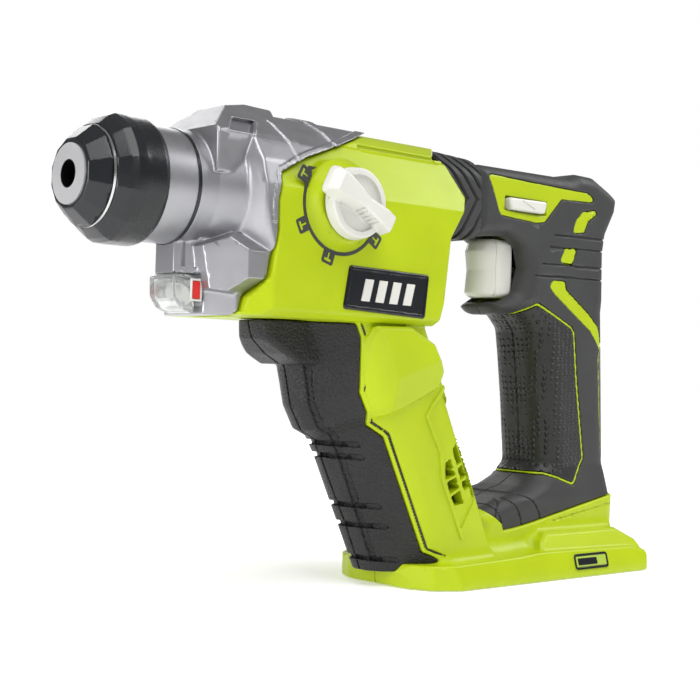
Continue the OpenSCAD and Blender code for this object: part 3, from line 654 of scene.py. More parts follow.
def foot_outer(x, y, z):
    """The battery foot with its raised rear block."""
    half = np.abs(y)
    plate = round_max(outline(x, y, FOOT_TOP_R), outline(x, z, FOOT_SIDE_R), 0.8)
    lean = half - FOOT_HALF_W + 0.28 * np.maximum(z - 2, 0) - 0.4
    plate = blend_max(plate, lean, 1)
    block_side = outline(x, z, [(-4, 6), (2, 17.5), (7, 21.3), (60, 21.3), (73, 15), (79, 6)])
    block = bevel_max(block_side, half - 33 + 0.5 * np.maximum(z - 12, 0), 1.2)
    ramp_side = outline(x, z, [(-62, 6), (-46, 15), (-24, 22), (60, 22), (72, 6)])
    ramp = blend_max(ramp_side, half - 24.5 + 0.45 * (z - 14), 2)
    return blend_min(blend_min(plate, block, 1.5), ramp, 5)


def handle_outer(x, y, z):
    """The rear handle: round through the grip and squarer along the top."""
    half = np.abs(y)
    top = np.clip((z - 128) / 30, 0, 1)
    low = np.clip((52 - z) / 16, 0, 1)
    width = GRIP_HALF_W + 0.6 * top + 2.5 * low
    radius = 13 - 6.5 * top - 5.5 * low
    return round_max(outline(x, z, HANDLE_R), half - width, radius)


def pedestal_field(x, z):
    """The green pedestal under the grip, seen from the side."""
    return outline(x, z, PEDESTAL)


# ---------- hollows shared by both halves ----------


def hollows(x, y, z, outer):
    """Everything the shell leaves open inside, the sockets and the slots."""
    half = np.abs(y)
    cavity_side = outline(x, z, CAVITY_SIDE)
    arch = np.where(z > AXIS_Z, np.hypot(half, (z - AXIS_Z) * 29.5 / 30.5) - 29.5, half - 29.5)
    gears = np.maximum(np.maximum(cavity_side, arch), outer + 1.6)
    # the mechanism passes through the front, where the gear housing closes it
    front = np.maximum(np.hypot(half, z - AXIS_Z) - 22, np.abs(x + 165) - 15)
    gears = np.minimum(gears, front)
    wobble = np.maximum(np.hypot(half, z - MOTOR_Z) - 15.2, np.abs(x + 86) - 9)
    down, front = column_axes(x, z)
    motor = np.maximum(np.hypot(front, half) - 18.3, np.abs(down - 63) - 41)
    space = np.maximum(outer + 5.5, np.maximum(outline(x, z, COLUMN_SPACE), front - 24))
    space = np.maximum(space, np.maximum(-front - 26, x + 40))
    wires = box_field(x, half, z, (-66, -9, 167), (52, 9, 183))
    stem = box_field(x, half, z, (19, -11, 75), (52, 11, 185))
    pocket = round_max(box_field(x, 0.0, z, (-40, -1, 130.4), (23, 1, 160.6)), half - 10.1, 2)
    socket = round_max(box_field(x, 0.0, z, (26.5, -1, -5), (61.5, 1, 64)), half - 13.5, 2)
    rails = box_field(x, half, z, (20, -1, -5), (68, 20, 9))
    button = box_field(x, 0.0, z, (-18, -1, 172.6), (12, 1, 179.4))
    bore = np.maximum(np.hypot(x - KNOB_X, z - KNOB_Z) - 5.1, y)
    empty = gears
    for one in (wobble, motor, space, wires, stem, pocket, socket, rails, button, bore):
        empty = np.minimum(empty, one)
    return empty


def vents(x, y, z):
    """Two long cooling openings, each crossed by two slanted fins."""
    opening = np.minimum(outline(x, z, VENTS[0]), outline(x, z, VENTS[1]))
    for fin in VENT_FINS:
        opening = np.maximum(opening, 0.55 - trace(x, z, fin))
    return np.maximum(opening, 17 - np.abs(y))


def green_regions(x, z):
    """Where the green core shows through the grip's rubber."""
    region = outline(x, z, INLAY_R)
    for patch in PATCHES_R:
        region = np.minimum(region, outline(x, z, patch))
    line = np.abs(outline(x, z, PANEL_R)) - 0.55
    rim = np.abs(outline(x, z, BACK_PANEL_R) - 0.6) - 0.5
    return np.minimum(region, np.minimum(line, rim))


def bore_for_stub(x, y, z):
    """The hole in the boss for the mode knob's stub."""
    return np.maximum(np.hypot(x - KNOB_X, z - KNOB_Z) - 5.3, y + 20)


def housing(x, y, z, left):
    """One half of the green housing, at Y < 0 for the left."""
    half = np.abs(y)
    body = body_outer(x, y, z)
    # a notch for the lamp's chin, open to the front
    chin = box_field(x, half, z, (-220, -1, 100), (-164.7, 14.3, 150))
    body = cut(body, chin)
    if left:
        from_knob = np.hypot(x - KNOB_X, z - KNOB_Z)
        out = -y - BODY_HALF_W
        cone = (from_knob - 18.8 + BOSS_TAPER * np.maximum(out, 0)) * 0.85
        boss = round_max(cone, out - BOSS_H, 0.6)
        body = np.where(y < -20, np.minimum(body, boss), body)
    column = column_outer(x, y, z)
    rubber = outline(x, z, RUBBER_EDGE_R)
    # the core runs on under the rubber
    core = np.maximum(column + RUBBER_T + 0.15, rubber)
    open_side = np.maximum(column, -rubber + GAP / 2)
    # a fine groove behind the rubber's edge holds the dark bead
    open_side = sink(open_side, np.abs(rubber - 2.0) - 0.45, 1.6)
    panel = outline(x, z, VENT_PANEL)
    open_side = sink(open_side, np.maximum(panel, 18 - half), 1.1)
    border = trace(x, z, VENT_BORDER) - 0.9
    open_side = lift(open_side, np.maximum(border, 18 - half), 0.9)
    column = np.minimum(core, open_side)
    lump_side = outline(x, z, LUMP_R)
    # its facets fall away ahead of one ridge and below another
    ahead = (x + 106) * -0.915 + (z - 112) * -0.402
    below = (x + 101.6) * 0.313 - (z - 90.6) * 0.95
    fall = np.maximum(0, np.maximum(0.45 * ahead, 0.22 * below))
    lump = bevel_max(lump_side, column_section(x, y, z) - 5.2 + fall, 1.5)
    column = blend_min(column, np.maximum(lump, 10 - half), 0.8)
    column = np.maximum(column, 8 - z)
    body = np.maximum(body, -np.maximum(rubber, z - 115.2))
    green = blend_min(body, column, 1.0)
    foot = foot_outer(x, y, z)
    pedestal = round_max(pedestal_field(x, z), handle_outer(x, y, z) - 1.2, 1)
    ledge = sink(pedestal, np.abs(trace(x, z, [(-30, 18), (72, 37 - 3.2)])) - 0.3, 0.5)
    green = blend_min(green, blend_min(foot, ledge, 4), 5)
    handle = handle_outer(x, y, z)
    region = green_regions(x, z)
    step_in = pedestal_field(x, z)
    core = np.minimum(handle + 2.6, np.maximum(handle + 0.35, np.minimum(region, step_in)))
    core = np.maximum(core, -(x + 36))
    bar = box_field(x, half, z, (-66, -1, 164), (-20, 12, 186))
    green = np.minimum(green, np.minimum(core, bar))
    green = cut(green, hollows(x, y, z, green))
    green = cut(green, vents(x, y, z))
    for sx, sz in SCREWS:
        hole = np.hypot(x - sx, z - sz)
        if left:
            green = cut(green, np.maximum(hole - 1.6, -y - 12))
        else:
            green = cut(green, np.minimum(hole - 1.6, np.maximum(hole - 3.6, 13 - y)))
    if left:
        green = cut(green, bore_for_stub(x, y, z))
    seam = (y if left else -y) + 0.12
    return round_max(green, seam, 0.3)


def gear_case(x, y, z):
    """The cast gear housing: neck, flared case, windowed top block, lamp chin and two side blocks."""
    half = np.abs(y)
    across = np.hypot(half, z - AXIS_Z)
    neck_r = np.interp(x, [-200, -193, -187, -175], [NECK_R, NECK_R, NECK_R + 0.4, 26.6])
    neck = blend_max((across - neck_r) * 0.9, np.maximum(-195 - x, x + 170), 0.6)
    arch = outline(half, z, CASE_SECTION_R) * 0.95
    side = outline(x, z, CASE_SIDE)
    # a steep flare from the neck out to the case
    flare = (across - 26.9) * 0.55 - (x + 175.5) * 0.835
    case = blend_max(blend_max(arch, side, 1.0), flare, 0.7)
    # two raised bands over the top
    for band in (-158, -131):
        case = lift(case, np.maximum(np.abs(x - band - 0.32 * (half - 10)) - 2.4, 158 - z), 0.8)
    shell = blend_min(neck, case, 0.4)
    block_top = outline(x, z, CASE_TOP_BLOCK)
    facet = (half - 17) * 0.684 + (z - 193.2) * 0.73
    top_block = blend_max(blend_max(block_top, facet, 1.0), half - 24, 1.2)
    shell = blend_min(shell, top_block, 0.5)
    window = np.maximum(outline(x, z, WINDOW), 9 - half)
    shell = sink(lift(shell, window - 1.2, 0.4), window, 1.5)
    block_side = [(-189, 142), (-178, 147.5), (-160, 146), (-160, 124), (-175, 122.5), (-187, 125)]
    block = np.maximum(outline(x, z, block_side), half - 31)
    # its top and bottom lean in, and its front narrows
    block = np.maximum(block, (half - 31) * 0.62 + (z - 140.5) * 0.785)
    block = np.maximum(block, (half - 31) * 0.62 - (z - 129.5) * 0.785)
    block = np.maximum(block, (half - 16) * 0.6 + (-x - 189) * 0.8)
    shell = blend_min(shell, block, 0.8)
    chin_side = [(-195.6, 146), (-195.6, 131), (-186, 131), (-186, 115.3), (-160, 113.7), (-160, 150)]
    chin = bevel_max(outline(x, z, chin_side), half - 14, 3.5)
    chin = np.maximum(chin, (half - 9.0) * 0.82 + (-x - 191.5) * 0.57)
    base = bevel_max(outline(x, z, [(-186, 126), (-186, 115.3), (-160, 114), (-160, 126)]), half - 24, 2)
    chin = np.minimum(chin, np.maximum(base, (half - 13) * 0.6 + (-x - 186) * 0.8))
    hollow_panel = outline(x, z, [(-193.5, 144.5), (-187, 147), (-188, 133), (-192.5, 133.5)])
    chin = sink(chin, np.maximum(hollow_panel, 8 - half), 1.0)
    shell = blend_min(shell, chin, 0.8)
    ahead = outline(x, z, AHEAD_OF_SEAM)
    shell = round_max(shell, ahead, 0.5)
    lip = np.abs(ahead + 1.3) - 1.1
    shell = lift(shell, np.maximum(lip, 152 - z), 0.5)
    bore = np.maximum(across - 16.6, np.abs(x + 170) - 30)
    cavity = np.maximum(np.maximum(arch + 4.2, np.abs(x + 110) - 48), 118 - z)
    bearing = np.maximum(np.hypot(half, z - MOTOR_Z) - 9.5, np.abs(x + 161) - 5)
    lens_room = np.maximum(outline(x, z, LENS_ROOM), half - 13.1)
    lamp_room = box_field(x, half, z, (-188, -1, 119), (-180, 8, 129))
    empty = np.minimum(np.minimum(bore, cavity), np.minimum(bearing, np.minimum(lens_room, lamp_room)))
    return cut(shell, empty)


def seam_shade_band(x, y, z):
    """A black band along the seam between the gear housing and the green shells: painted shade standing in
    for the dark gap there.
    """
    body = body_outer(x, y, z)
    seam = trace(x, z, SEAM[1:-2])
    return np.maximum(np.maximum(seam - 0.75, body + 0.1), -body - 2.2)


def edge_bead(x, y, z):
    """The thin dark bead beside the rubber on the column."""
    column = column_outer(x, y, z)
    bead = np.abs(outline(x, z, RUBBER_EDGE_R) - 2.0) - 0.42
    low = np.maximum(z - 113.8, 12.5 - z)
    return np.maximum(np.maximum(bead, low), np.maximum(column + 0.35, -column - 1.5))


def front_rubber(x, y, z):
    """The rubber on the front of the column, with its grooves and slots."""
    half = np.abs(y)
    column = column_outer(x, y, z)
    shape = blend_min(column, lobe_outer(x, y, z), 1.2)
    down, front = column_axes(x, z)
    facing = 12 - front
    shape = sink(shape, np.maximum(half - 0.4, facing), 0.9)
    groove = np.abs(half - 10.3 + 0.02 * down) - 1.1
    shape = sink(shape, np.maximum(np.maximum(groove, facing), np.maximum(z - 97, 12 - z)), 1.3)
    for level in (64, 58.5, 37, 28, 13):
        cutter = np.abs(z - level + 0.05 * half) - 1.1
        shape = sink(shape, np.maximum(cutter, half - 15), 1.9 * np.clip(1.2 - half / 16, 0, 1))
    rubber = outline(x, z, RUBBER_EDGE_R) + GAP / 2
    shape = round_max(shape, rubber, 0.5)
    shape = np.maximum(shape, -(column + RUBBER_T))
    return np.maximum(shape, np.maximum(z - 114.8, 6.8 - z))


def grip_rubber(x, y, z):
    """The handle's rubber, open where the green core shows."""
    half = np.abs(y)
    handle = handle_outer(x, y, z)
    shape = np.maximum(handle, -(handle + 2.5))
    shape = round_max(shape, -(green_regions(x, z) - 0.25), 0.35)
    shape = np.maximum(shape, -(pedestal_field(x, z) - 0.3))
    for line in GRIP_LINES:
        shape = sink(shape, trace(x, z, line) - 0.35, 0.8)
    for k in range(3):
        ridge = np.hypot(x + 33 - 14 * k, z - 22) - 17
        shape = sink(shape, np.maximum(np.abs(ridge) - 0.3, x - 4 - 12 * k), 0.7)
    shape = sink(shape, np.maximum(half - 0.3, x - 24), 0.5)
    pocket = round_max(box_field(x, 0.0, z, (-40, -1, 129.9), (23, 1, 161.1)), half - 10.6, 2)
    button = box_field(x, 0.0, z, (-18, -1, 172.6), (12, 1, 179.4))
    bar = box_field(x, half, z, (-64, -1, 163.7), (-20, 12.3, 186.3))
    return cut(shape, np.minimum(np.minimum(pocket, button), bar))


def grip_main(x, y, z):
    """The handle's smooth rubber, without the two dotted panels."""
    panels = np.minimum(outline(x, z, PANEL_R), outline(x, z, BACK_PANEL_R))
    return np.maximum(grip_rubber(x, y, z), -panels)


def grip_panel(x, y, z):
    """The dotted panel that runs round the grip."""
    return np.maximum(grip_rubber(x, y, z), outline(x, z, PANEL_R))


def back_panel(x, y, z):
    """The dotted panel on the back of the handle."""
    return np.maximum(grip_rubber(x, y, z), outline(x, z, BACK_PANEL_R))


def bellows(x, y, z):
    """Chevron pleats between the body and the handle."""
    half = np.abs(y)
    bend = -0.62 * np.abs(z - 175) - 0.28 * np.maximum(z - 175, 0)
    across = x - bend
    pleat = np.abs(((across + 49) % 6.6) - 3.3)
    depth = np.clip(2.4 - 1.7 * pleat, 0, 2.4)
    section = round_max(half - 21, np.abs(z - 175.8) - 19.8 + 0.06 * (x + 50), 7)
    chamfer = (half - 21) * 0.7 + (z - 195.5) * 0.72 + 6.2
    section = blend_max(section, chamfer, 3)
    shape = section + depth * 0.9
    shape = np.maximum(shape, x + 36.4)
    body = outline(x, z, [(p[0] + 0.4, p[1]) for p in BODY_SIDE_R])
    crown = np.where(z > 190, x + half + 48.6, 9)
    shape = np.maximum(shape, -np.minimum(body, crown))
    shape = np.maximum(shape, -(x + 70))
    bar = box_field(x, half, z, (-90, -1, 163.7), (-20, 12.3, 186.3))
    return cut(shape, bar)


def chuck_shape(x, y, z, profile, softness):
    """A turned shape with twelve soft flats."""
    v = z - AXIS_Z
    turn = np.arctan2(y, v)
    sector = (turn + math.pi / 12) % (math.pi / 6) - math.pi / 12
    across = np.hypot(y, v)
    flat = across * np.cos(sector)
    mixed = across * (1 - softness) + flat * softness
    xs = [p[0] + NOSE_X for p in profile]
    rs = [p[1] for p in profile]
    return (mixed - np.interp(x, xs, rs)) * 0.8


def dust_cap(x, y, z):
    """The faceted cap at the nose, with a seat for the holder's rim."""
    shell = chuck_shape(x, y, z, CAP_PROFILE, 1.0)
    shell = blend_max(shell, np.maximum(NOSE_X + 0.6 - x, x - NOSE_X - 7.75), 0.6)
    across = np.hypot(y, z - AXIS_Z)
    hole = np.minimum(across - 10.6, np.maximum(across - 11.8, x - NOSE_X - 2.1))
    return cut(shell, hole)


def chuck_sleeve(x, y, z):
    """The sleeve that is pulled back to free a bit."""
    # the flats fade out towards the rear
    softness = np.clip((NOSE_X + 22 - x) / 12, 0.1, 0.75)
    shell = chuck_shape(x, y, z, SLEEVE_PROFILE, softness)
    shell = blend_max(shell, np.maximum(NOSE_X + 9 - x, x - NOSE_X - 30), 0.6)
    across = np.hypot(y, z - AXIS_Z)
    inner_r = [12.7, 16, NECK_R + 0.3, NECK_R + 0.3]
    inner = np.interp(x, [NOSE_X + 14, NOSE_X + 14.1, NOSE_X + 19, NOSE_X + 31], inner_r)
    return cut(shell, across - inner)


def knob(x, y, z):
    """The mode knob: a dished disc with a waisted bar across it, on a stub that enters the body."""
    out = -y - BODY_HALF_W
    u = x - KNOB_X
    v = z - KNOB_Z
    from_axis = np.hypot(u, v)
    disc_r = 14.2 + 0.12 * np.clip(KNOB_FACE - 1 - out, 0, 6)
    disc = round_max(from_axis - disc_r, np.maximum(BOSS_H + 0.35 - out, out - KNOB_FACE), 1.0)
    disc = cut(disc, np.maximum(from_axis - 11.4, KNOB_FACE - 1.8 - out))
    # the bar runs from a broad paddle at the upper left to a rounded end at the lower right
    tilt = math.radians(-27)
    along = u * math.cos(tilt) + v * math.sin(tilt)
    across = np.abs(-u * math.sin(tilt) + v * math.cos(tilt))
    width = np.interp(along, [-20, -18, -12, 0, 11, 18], [4.0, 5.8, 5.8, 3.4, 4.6, 4.4])
    crest = KNOB_FACE + np.interp(along, [-20, -16, -8, 11, 16, 19], [1.5, 5.0, 5.4, 5.2, 4.2, 1.6])
    sides = across - width + 0.25 * (out - KNOB_FACE)
    underside = np.where(np.abs(along) < 13.5, KNOB_FACE - 3, KNOB_FACE - 2.2)
    bar = round_max(sides, np.maximum(along - 17.4, -along - 19.4), 1.5)
    bar = round_max(bar, np.maximum(out - crest, underside - out), 1.0)
    ribs = np.abs((along - 1.2) % 2.2 - 1.1) - 0.35
    low_side = np.maximum(np.abs(along - 4.5) - 6, out - KNOB_FACE - 3.4)
    bar = sink(bar, np.maximum(ribs, np.maximum(low_side, v)), 0.5)
    stub = np.maximum(from_axis - 5, np.maximum(-7.5 - out, out - 3))
    return np.minimum(blend_min(disc, bar, 1.0), stub)


def dial(x, y, z):
    """The printed arc round the knob, with four tabs and a pointer mark."""
    out = -y - BODY_HALF_W
    u = x - KNOB_X
    v = z - KNOB_Z
    from_axis = np.hypot(u, v)
    angle = np.degrees(np.arctan2(v, u)) % 360
    arc = np.abs(from_axis - 20.0) - 0.75
    open_part = np.maximum(angle - 148, 0) * np.maximum(328 - angle, 0)
    arc = np.where(open_part > 0, arc, np.maximum(arc, 0.4))
    shape = arc
    for turn in (153, 206, 253, 326):
        a = math.radians(turn)
        tu = u - 22.6 * math.cos(a)
        tv = v - 22.6 * math.sin(a)
        along = tu * math.cos(a) + tv * math.sin(a)
        side = -tu * math.sin(a) + tv * math.cos(a)
        tab = round_max(np.abs(along) - 2.9, np.abs(side) - 3.1, 1.0)
        head = np.maximum(np.abs(along - 1.2) - 0.55, np.abs(side) - 1.8)
        tail = np.maximum(np.abs(along + 0.4) - 1.5, np.abs(side) - 0.4)
        shape = np.minimum(shape, cut(tab, np.minimum(head, tail)))
    mark = outline(u, v, [(-18.2, 11.2), (-14.0, 13.6), (-18.6, 13.8)])
    shape = np.minimum(shape, mark)
    return np.maximum(shape, np.maximum(-0.25 - out, out - 0.22))


def trigger(x, y, z):
    """The trigger: a finger face that curves in, on a stem."""
    half = np.abs(y)
    finger = np.interp(z, [130, 134, 145, 154, 160.5], [-18.0, -21.0, -19.8, -21.2, -18.6])
    side = np.maximum(finger - x + 0.085 * half * half, x)
    cheek = half - 9.6 + np.clip((-10 - x) * 0.12, 0, 1.2)
    shape = round_max(side, cheek, 3.2)
    shape = round_max(shape, np.abs(z - 146) - 14, 3.0)
    shape = sink(shape, np.maximum(np.abs(x + 12.5) - 0.35, 7 - half), 0.5)
    stem = np.maximum(np.hypot(half, z - 145.5) - 3, np.maximum(-3 - x, x - 17))
    return np.minimum(shape, stem)


def button(x, y, z):
    """The direction button, which shows at both sides of the handle."""
    half = np.abs(y)
    face = outline(x, z, fillet([(-17.4, 178.6), (10.5, 179), (8.6, 173.1), (-15.6, 173.0)], 1.4, steps=3))
    shape = round_max(face, half - 21, 1.2)
    line = np.abs((x + 3.5) * 0.35 + (z - 176) * 0.94) - 0.28
    mark = np.maximum(line, np.abs(x + 3.5) - 4.5)
    return sink(shape, np.maximum(mark, 15 - half), 0.4)


def plate(x, y, z):
    """A dark plate with a raised rim."""
    half = np.abs(y)
    face = outline(x, z, fillet([(-128, 138), (-82, 137), (-84, 118), (-131, 120)], 1.4, steps=2))
    shape = bevel_max(face, half - BODY_HALF_W - 0.8, 0.5)
    shape = sink(shape, np.maximum(face + 1.6, 30 - half), 0.3)
    return np.maximum(shape, BODY_HALF_W - 0.5 - half)


def plate_bars(x, y, z):
    """A plain pattern of slanted bars on the plate."""
    half = np.abs(y)
    lean = (x + 106) - 0.25 * (z - 128)
    bar = np.abs((lean + 16) % 8 - 4) - 2.4
    region = np.maximum(bar, np.maximum(np.abs(lean) - 15.6, np.abs(z - 128 + 0.02 * lean) - 4.6))
    shape = round_max(region, half - BODY_HALF_W - 0.8, 0.25)
    return np.maximum(shape, BODY_HALF_W - 0.2 - half)


def badge_frame(x, y, z):
    """The dark frame and bar of the foot's badge."""
    half = np.abs(y)
    out = half - FOOT_HALF_W + 0.28 * (z - 2) - 0.45
    face = round_max(np.abs(x - 32) - 12.6, np.abs(z - 7.3) - 3.7, 1.8)
    bar = round_max(np.abs(x - 29) - 7.2, np.abs(z - 7.3) - 1.6, 0.6)
    shape = np.minimum(np.abs(face + 0.55) - 0.5, bar)
    return np.maximum(np.maximum(shape, out - 0.42), -out - 0.4)


def badge(x, y, z):
    """The small plate on the foot's side."""
    half = np.abs(y)
    lean = 0.28 * (z - 2)
    face = round_max(np.abs(x - 32) - 12.6, np.abs(z - 7.3) - 3.7, 1.8)
    out = half - FOOT_HALF_W + lean - 0.45
    shape = bevel_max(face, out - 0.3, 0.3)
    shape = sink(shape, np.abs(face + 0.9) - 0.3, 0.4)
    return np.maximum(shape, -out - 1.2)


def lens(x, y, z):
    """The clear lamp cover, rounded at its lower front."""
    half = np.abs(y)
    side = outline(x, z, fillet(LENS_SIDE, 2))
    shape = bevel_max(side, half - 13, 5.0)
    inner = bevel_max(outline(x, z, LENS_INSIDE), half - 10.2, 3.6)
    return cut(shape, inner)


def lamp(x, y, z):
    """The lamp's carrier with its dome."""
    half = np.abs(y)
    board = box_field(x, half, z, (-188, -1, 120.2), (-186.1, 7.3, 127.6))
    dome = np.hypot(np.hypot(half, z - 124), np.maximum(-190.6 - x, 0)) - 2.5
    dome = np.maximum(dome, np.maximum(-194 - x, x + 187))
    return np.minimum(board, dome)


def side_light(x, y, z):
    """The small red window at each side of the lamp cover."""
    half = np.abs(y)
    depth = np.abs(half - 13.0) - 0.45
    return round_max(np.abs(x + 189.3) - 1.7, np.maximum(np.abs(z - 124.4) - 3.4, depth), 0.2)


def side_frame(x, y, z):
    """The pale frame round the red window."""
    half = np.abs(y)
    face = np.maximum(np.abs(x + 189.3) - 2.6, np.abs(z - 124.4) - 4.4)
    frame = np.maximum(face, np.abs(half - 12.9) - 0.5)
    return cut(frame, np.maximum(np.abs(x + 189.3) - 1.9, np.abs(z - 124.4) - 3.6))


def screw_heads(x, y, z):
    """Pan heads with a star recess, deep in the right shell, and their shanks."""
    result = None
    for sx, sz in SCREWS:
        u = x - sx
        v = z - sz
        from_axis = np.hypot(u, v)
        turn = np.arctan2(v, u)
        head = round_max(from_axis - 3.2, np.abs(y - 14.6) - 1.5, 0.8)
        star = from_axis - 1.35 - 0.3 * np.cos(6 * turn)
        head = cut(head, np.maximum(star, 14.4 - y))
        shank = np.maximum(from_axis - 1.5, np.abs(y - 2) - 12)
        one = np.minimum(head, shank)
        result = one if result is None else np.minimum(result, one)
    return result


# ---------- build ----------

COARSE = 1.0


def left_field(x, y, z):
    """The left half of the housing."""
    return housing(x, y, z, True)


def right_field(x, y, z):
    """The right half of the housing."""
    return housing(x, y, z, False)


def make(name, field, low, high, step, body, slot, nodes=(), material=None, thin=0.004):
    """Meshes a field inside a box and puts the piece in place."""
    piece = mesh_of(name, field, low, high, step * COARSE, thin)
    return place(piece, body, slot, material or MATERIALS[slot], *nodes)


def make_pair(names, field, low, high, step, slot, nodes=(None, None)):
    """Makes a piece for the left side and, in the mirrored box, one for the right."""
    sides = [(left_only, low[1], high[1]), (right_only, -high[1], -low[1])]
    for name, (half_of, near, far), node in zip(names, sides, nodes):
        corners = (low[0], near, low[2]), (high[0], far, high[2])
        make(name, half_of(field), *corners, step, "frame", slot, [node] if node else ())


# name, field, low corner, high corner, grid step, body, slot, replaced nodes, material
MAIN_PIECES = [
    ("left_housing_shell", left_field, (-195, -38, -1), (84, 0.5, 200), 0.7,
     "frame", "green_plastic", ["left_housing"]),
    ("right_housing_shell", right_field, (-195, -0.5, -1), (84, 38, 200), 0.7,
     "frame", "green_plastic", ["right_housing"]),
    ("gear_case", gear_case, (-198, -35, 112), (-94, 35, 204), 0.65,
     "frame", "cast_alloy", ["gear_housing"]),
    ("column_front_rubber", front_rubber, (-157, -30, 5), (-50, 30, 116), 0.6,
     "frame", "column_rubber", ["front_overmold"]),
    ("grip_rubber_main", grip_main, (-38, -23, 17), (72, 23, 198), 0.65,
     "frame", "grip_rubber", ["grip_overmold"]),
    ("grip_rubber_panel", grip_panel, (-26, -20, 40), (48, 20, 132), 0.65,
     "frame", "grip_rubber", (), GRIP_PANEL),
    ("grip_back_panel", back_panel, (55, -20, 48), (72, 20, 114), 0.6,
     "frame", "grip_rubber", (), BACK_PANEL),
    ("handle_bellows", bellows, (-72, -22.5, 154), (-34, 22.5, 199), 0.5,
     "frame", "grip_rubber", ["bellows"]),
    ("chuck_cap", dust_cap, (NOSE_X, -21, AXIS_Z - 21), (NOSE_X + 9, 21, AXIS_Z + 21), 0.45,
     "spindle", "black_rubber", ["dust_cap"]),
    ("chuck_sleeve_shell", chuck_sleeve,
     (NOSE_X + 8, -26.5, AXIS_Z - 26.5), (NOSE_X + 31.5, 26.5, AXIS_Z + 26.5), 0.5,
     "sleeve", "black_plastic", ["chuck_sleeve"]),
    ("mode_knob_grip", knob, (-155, -52, 143), (-112, -24, 181), 0.38,
     "mode_knob", "pale_plastic", ["mode_knob"]),
    ("dial_marks", dial, (-162, -34.2, 134), (-106, -33, 182), 0.25,
     "frame", "dial_print", ["mode_dial"]),
    ("trigger_shell", trigger, (-26, -11, 129), (18.5, 11, 162), 0.4,
     "trigger", "pale_plastic", ["trigger"]),
    ("direction_slider", button, (-19, -22, 172), (12.5, 22, 180), 0.35,
     "direction_button", "pale_plastic", ["direction_button"]),
]
SMALL_PIECES = [
    # the black band along the seam is painted shade for the dark gap between the gear housing and the shells
    ("body_seam_seal", seam_shade_band, (-195, -34.5, 112), (-96, 34.5, 201), 0.55, "frame", "black_rubber"),
    ("column_edge_bead", edge_bead, (-118, -29, 10), (-48, 29, 115.5), 0.45, "frame", "black_rubber"),
    ("lamp_cover", lens, (-198.5, -14, 114), (-185.5, 14, 132), 0.35,
     "frame", "clear_lens", ["headlight_lens"]),
    ("lamp_carrier", lamp, (-195, -8.5, 119), (-185.5, 8.5, 129), 0.3,
     "frame", "lamp_red", ["led_module"], MATERIALS["pale_plastic"]),
    ("side_windows", side_light, (-192, -14, 120), (-187, 14, 129), 0.25, "frame", "lamp_red"),
    ("side_window_frames", side_frame, (-193, -14, 119), (-186, 14, 130), 0.25, "frame", "pale_plastic"),
    ("shell_screws", screw_heads, (-76, -11, 2), (76, 17, 190), 0.4,
     "frame", "dark_steel", ["housing_screws"]),
]
for piece in MAIN_PIECES:
    make(*piece)
make_pair(
    ("left_badge_plate", "right_badge_plate"), plate, (-133, -36, 117), (-80, -32, 139), 0.3,
    "plate_black", ("left_plate", "right_plate"),
)
make_pair(
    ("foot_badge_left", "foot_badge_right"), badge, (18, -38.5, 2), (46, -33, 13), 0.25,
    "badge_green", ("foot_badges", "foot_badges"),
)
make_pair(
    ("left_plate_bars", "right_plate_bars"), plate_bars, (-124, -35, 121), (-88, -33, 135), 0.25,
    "pale_plastic",
)
make_pair(
    ("badge_frame_left", "badge_frame_right"), badge_frame, (18, -38.5, 2), (46, -33, 13), 0.2,
    "plate_black",
)
for piece in SMALL_PIECES:
    make(*piece)

# ---------- floor, lights and camera ----------

FLOOR_REACH = 12.0
FLOOR_DROP = 0.0004
CAMERA_PLACE = (-0.5085, -0.4581, 0.0944)
CAMERA_LENS = 72
CAMERA_SENSOR = 36
CAMERA_FAR = 30
LIGHTS_AIM = (-0.08, 0.0, 0.1)
SUN_ANGLE = 50
SUN_TURN = (22, -16)
AMBIENT = 0.24
SUN_POWER = 1.9
FLOOR_GLOW = 0.32
# name, place, width, height, power
LIGHTS = [
    ("key", (-0.5, -1.1, 0.9), 0.5, 0.5, 4),
    ("facet", (0.95, -0.5, 0.95), 0.7, 0.5, 7),
    ("nose", (-1.3, 0.1, 0.25), 0.3, 0.6, 7),
    ("back", (0.4, 1.2, 0.8), 0.8, 0.6, 5),
]


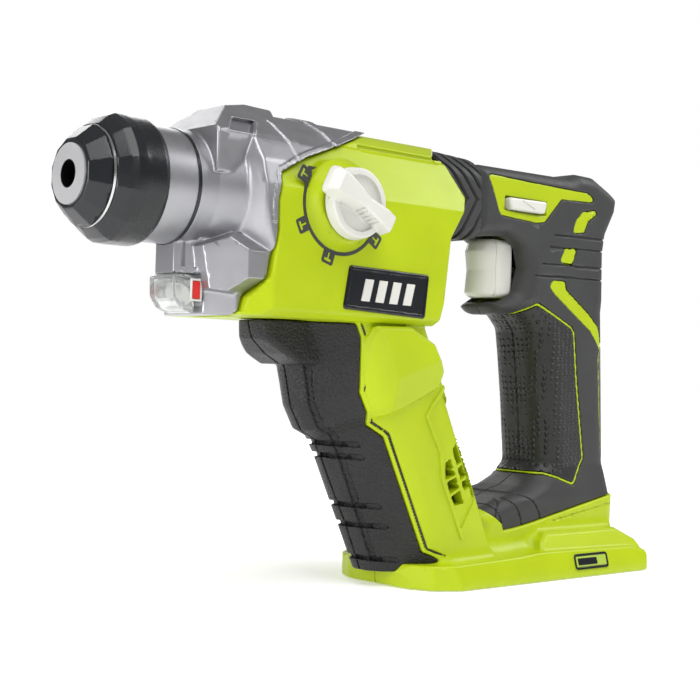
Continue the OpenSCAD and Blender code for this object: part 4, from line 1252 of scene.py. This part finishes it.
def studio():
    """A pale floor under soft boxes."""
    scene = bpy.context.scene
    scene.view_settings.view_transform = "Standard"
    floor_mesh = bpy.data.meshes.new("floor")
    quarters = ((-1, -1), (1, -1), (1, 1), (-1, 1))
    corners = [(sx * FLOOR_REACH, sy * FLOOR_REACH, -FLOOR_DROP) for sx, sy in quarters]
    floor_mesh.from_pydata(corners, [], [(0, 1, 2, 3)])
    floor = bpy.data.objects.new("floor", floor_mesh)
    scene.collection.objects.link(floor)
    paper = surface("floor_paper", (0.93, 0.93, 0.93), 0.9, shade=0.01, grain=(60, 0.02))
    shader = paper.node_tree.nodes["Principled BSDF"]
    shader.inputs["Emission Color"].default_value = (1, 1, 1, 1)
    shader.inputs["Emission Strength"].default_value = FLOOR_GLOW
    floor_mesh.materials.append(paper)
    world = bpy.data.worlds.new("studio")
    scene.world = world
    world.use_nodes = True
    sky = world.node_tree.nodes["Background"]
    sky.inputs["Color"].default_value = (1, 1, 1, 1)
    # the backdrop looks white, and lights the tool more softly than it looks
    path = world.node_tree.nodes.new("ShaderNodeLightPath")
    level = world.node_tree.nodes.new("ShaderNodeMapRange")
    level.inputs["To Min"].default_value = AMBIENT
    level.inputs["To Max"].default_value = 1.0
    world.node_tree.links.new(path.outputs["Is Camera Ray"], level.inputs["Value"])
    world.node_tree.links.new(level.outputs["Result"], sky.inputs["Strength"])
    sun = bpy.data.lights.new("sky_panel", "SUN")
    sun.energy = SUN_POWER
    sun.angle = math.radians(SUN_ANGLE)
    panel = bpy.data.objects.new("sky_panel", sun)
    scene.collection.objects.link(panel)
    panel.rotation_euler = (math.radians(SUN_TURN[0]), math.radians(SUN_TURN[1]), 0)
    middle = Vector(LIGHTS_AIM)
    for name, spot, width, height, power in LIGHTS:
        data = bpy.data.lights.new(name, "AREA")
        data.shape = "RECTANGLE"
        data.size = width
        data.size_y = height
        data.energy = power
        light = bpy.data.objects.new(name, data)
        scene.collection.objects.link(light)
        light.location = spot
        light.rotation_euler = (middle - Vector(spot)).to_track_quat("-Z", "Y").to_euler()


def camera():
    """The view from ahead and to the tool's left, near the ground."""
    right = Vector((0.7424, -0.6692, 0.0314))
    up = Vector((-0.0338, 0.0094, 0.9994))
    ahead = Vector((0.6691, 0.7431, 0.0157))
    data = bpy.data.cameras.new("camera")
    data.lens = CAMERA_LENS
    data.sensor_width = CAMERA_SENSOR
    data.clip_end = CAMERA_FAR
    viewer = bpy.data.objects.new("camera", data)
    bpy.context.scene.collection.objects.link(viewer)
    turn = Matrix((right, up, -ahead)).transposed().to_4x4()
    viewer.matrix_world = Matrix.Translation(CAMERA_PLACE) @ turn
    bpy.context.scene.camera = viewer


studio()
camera()
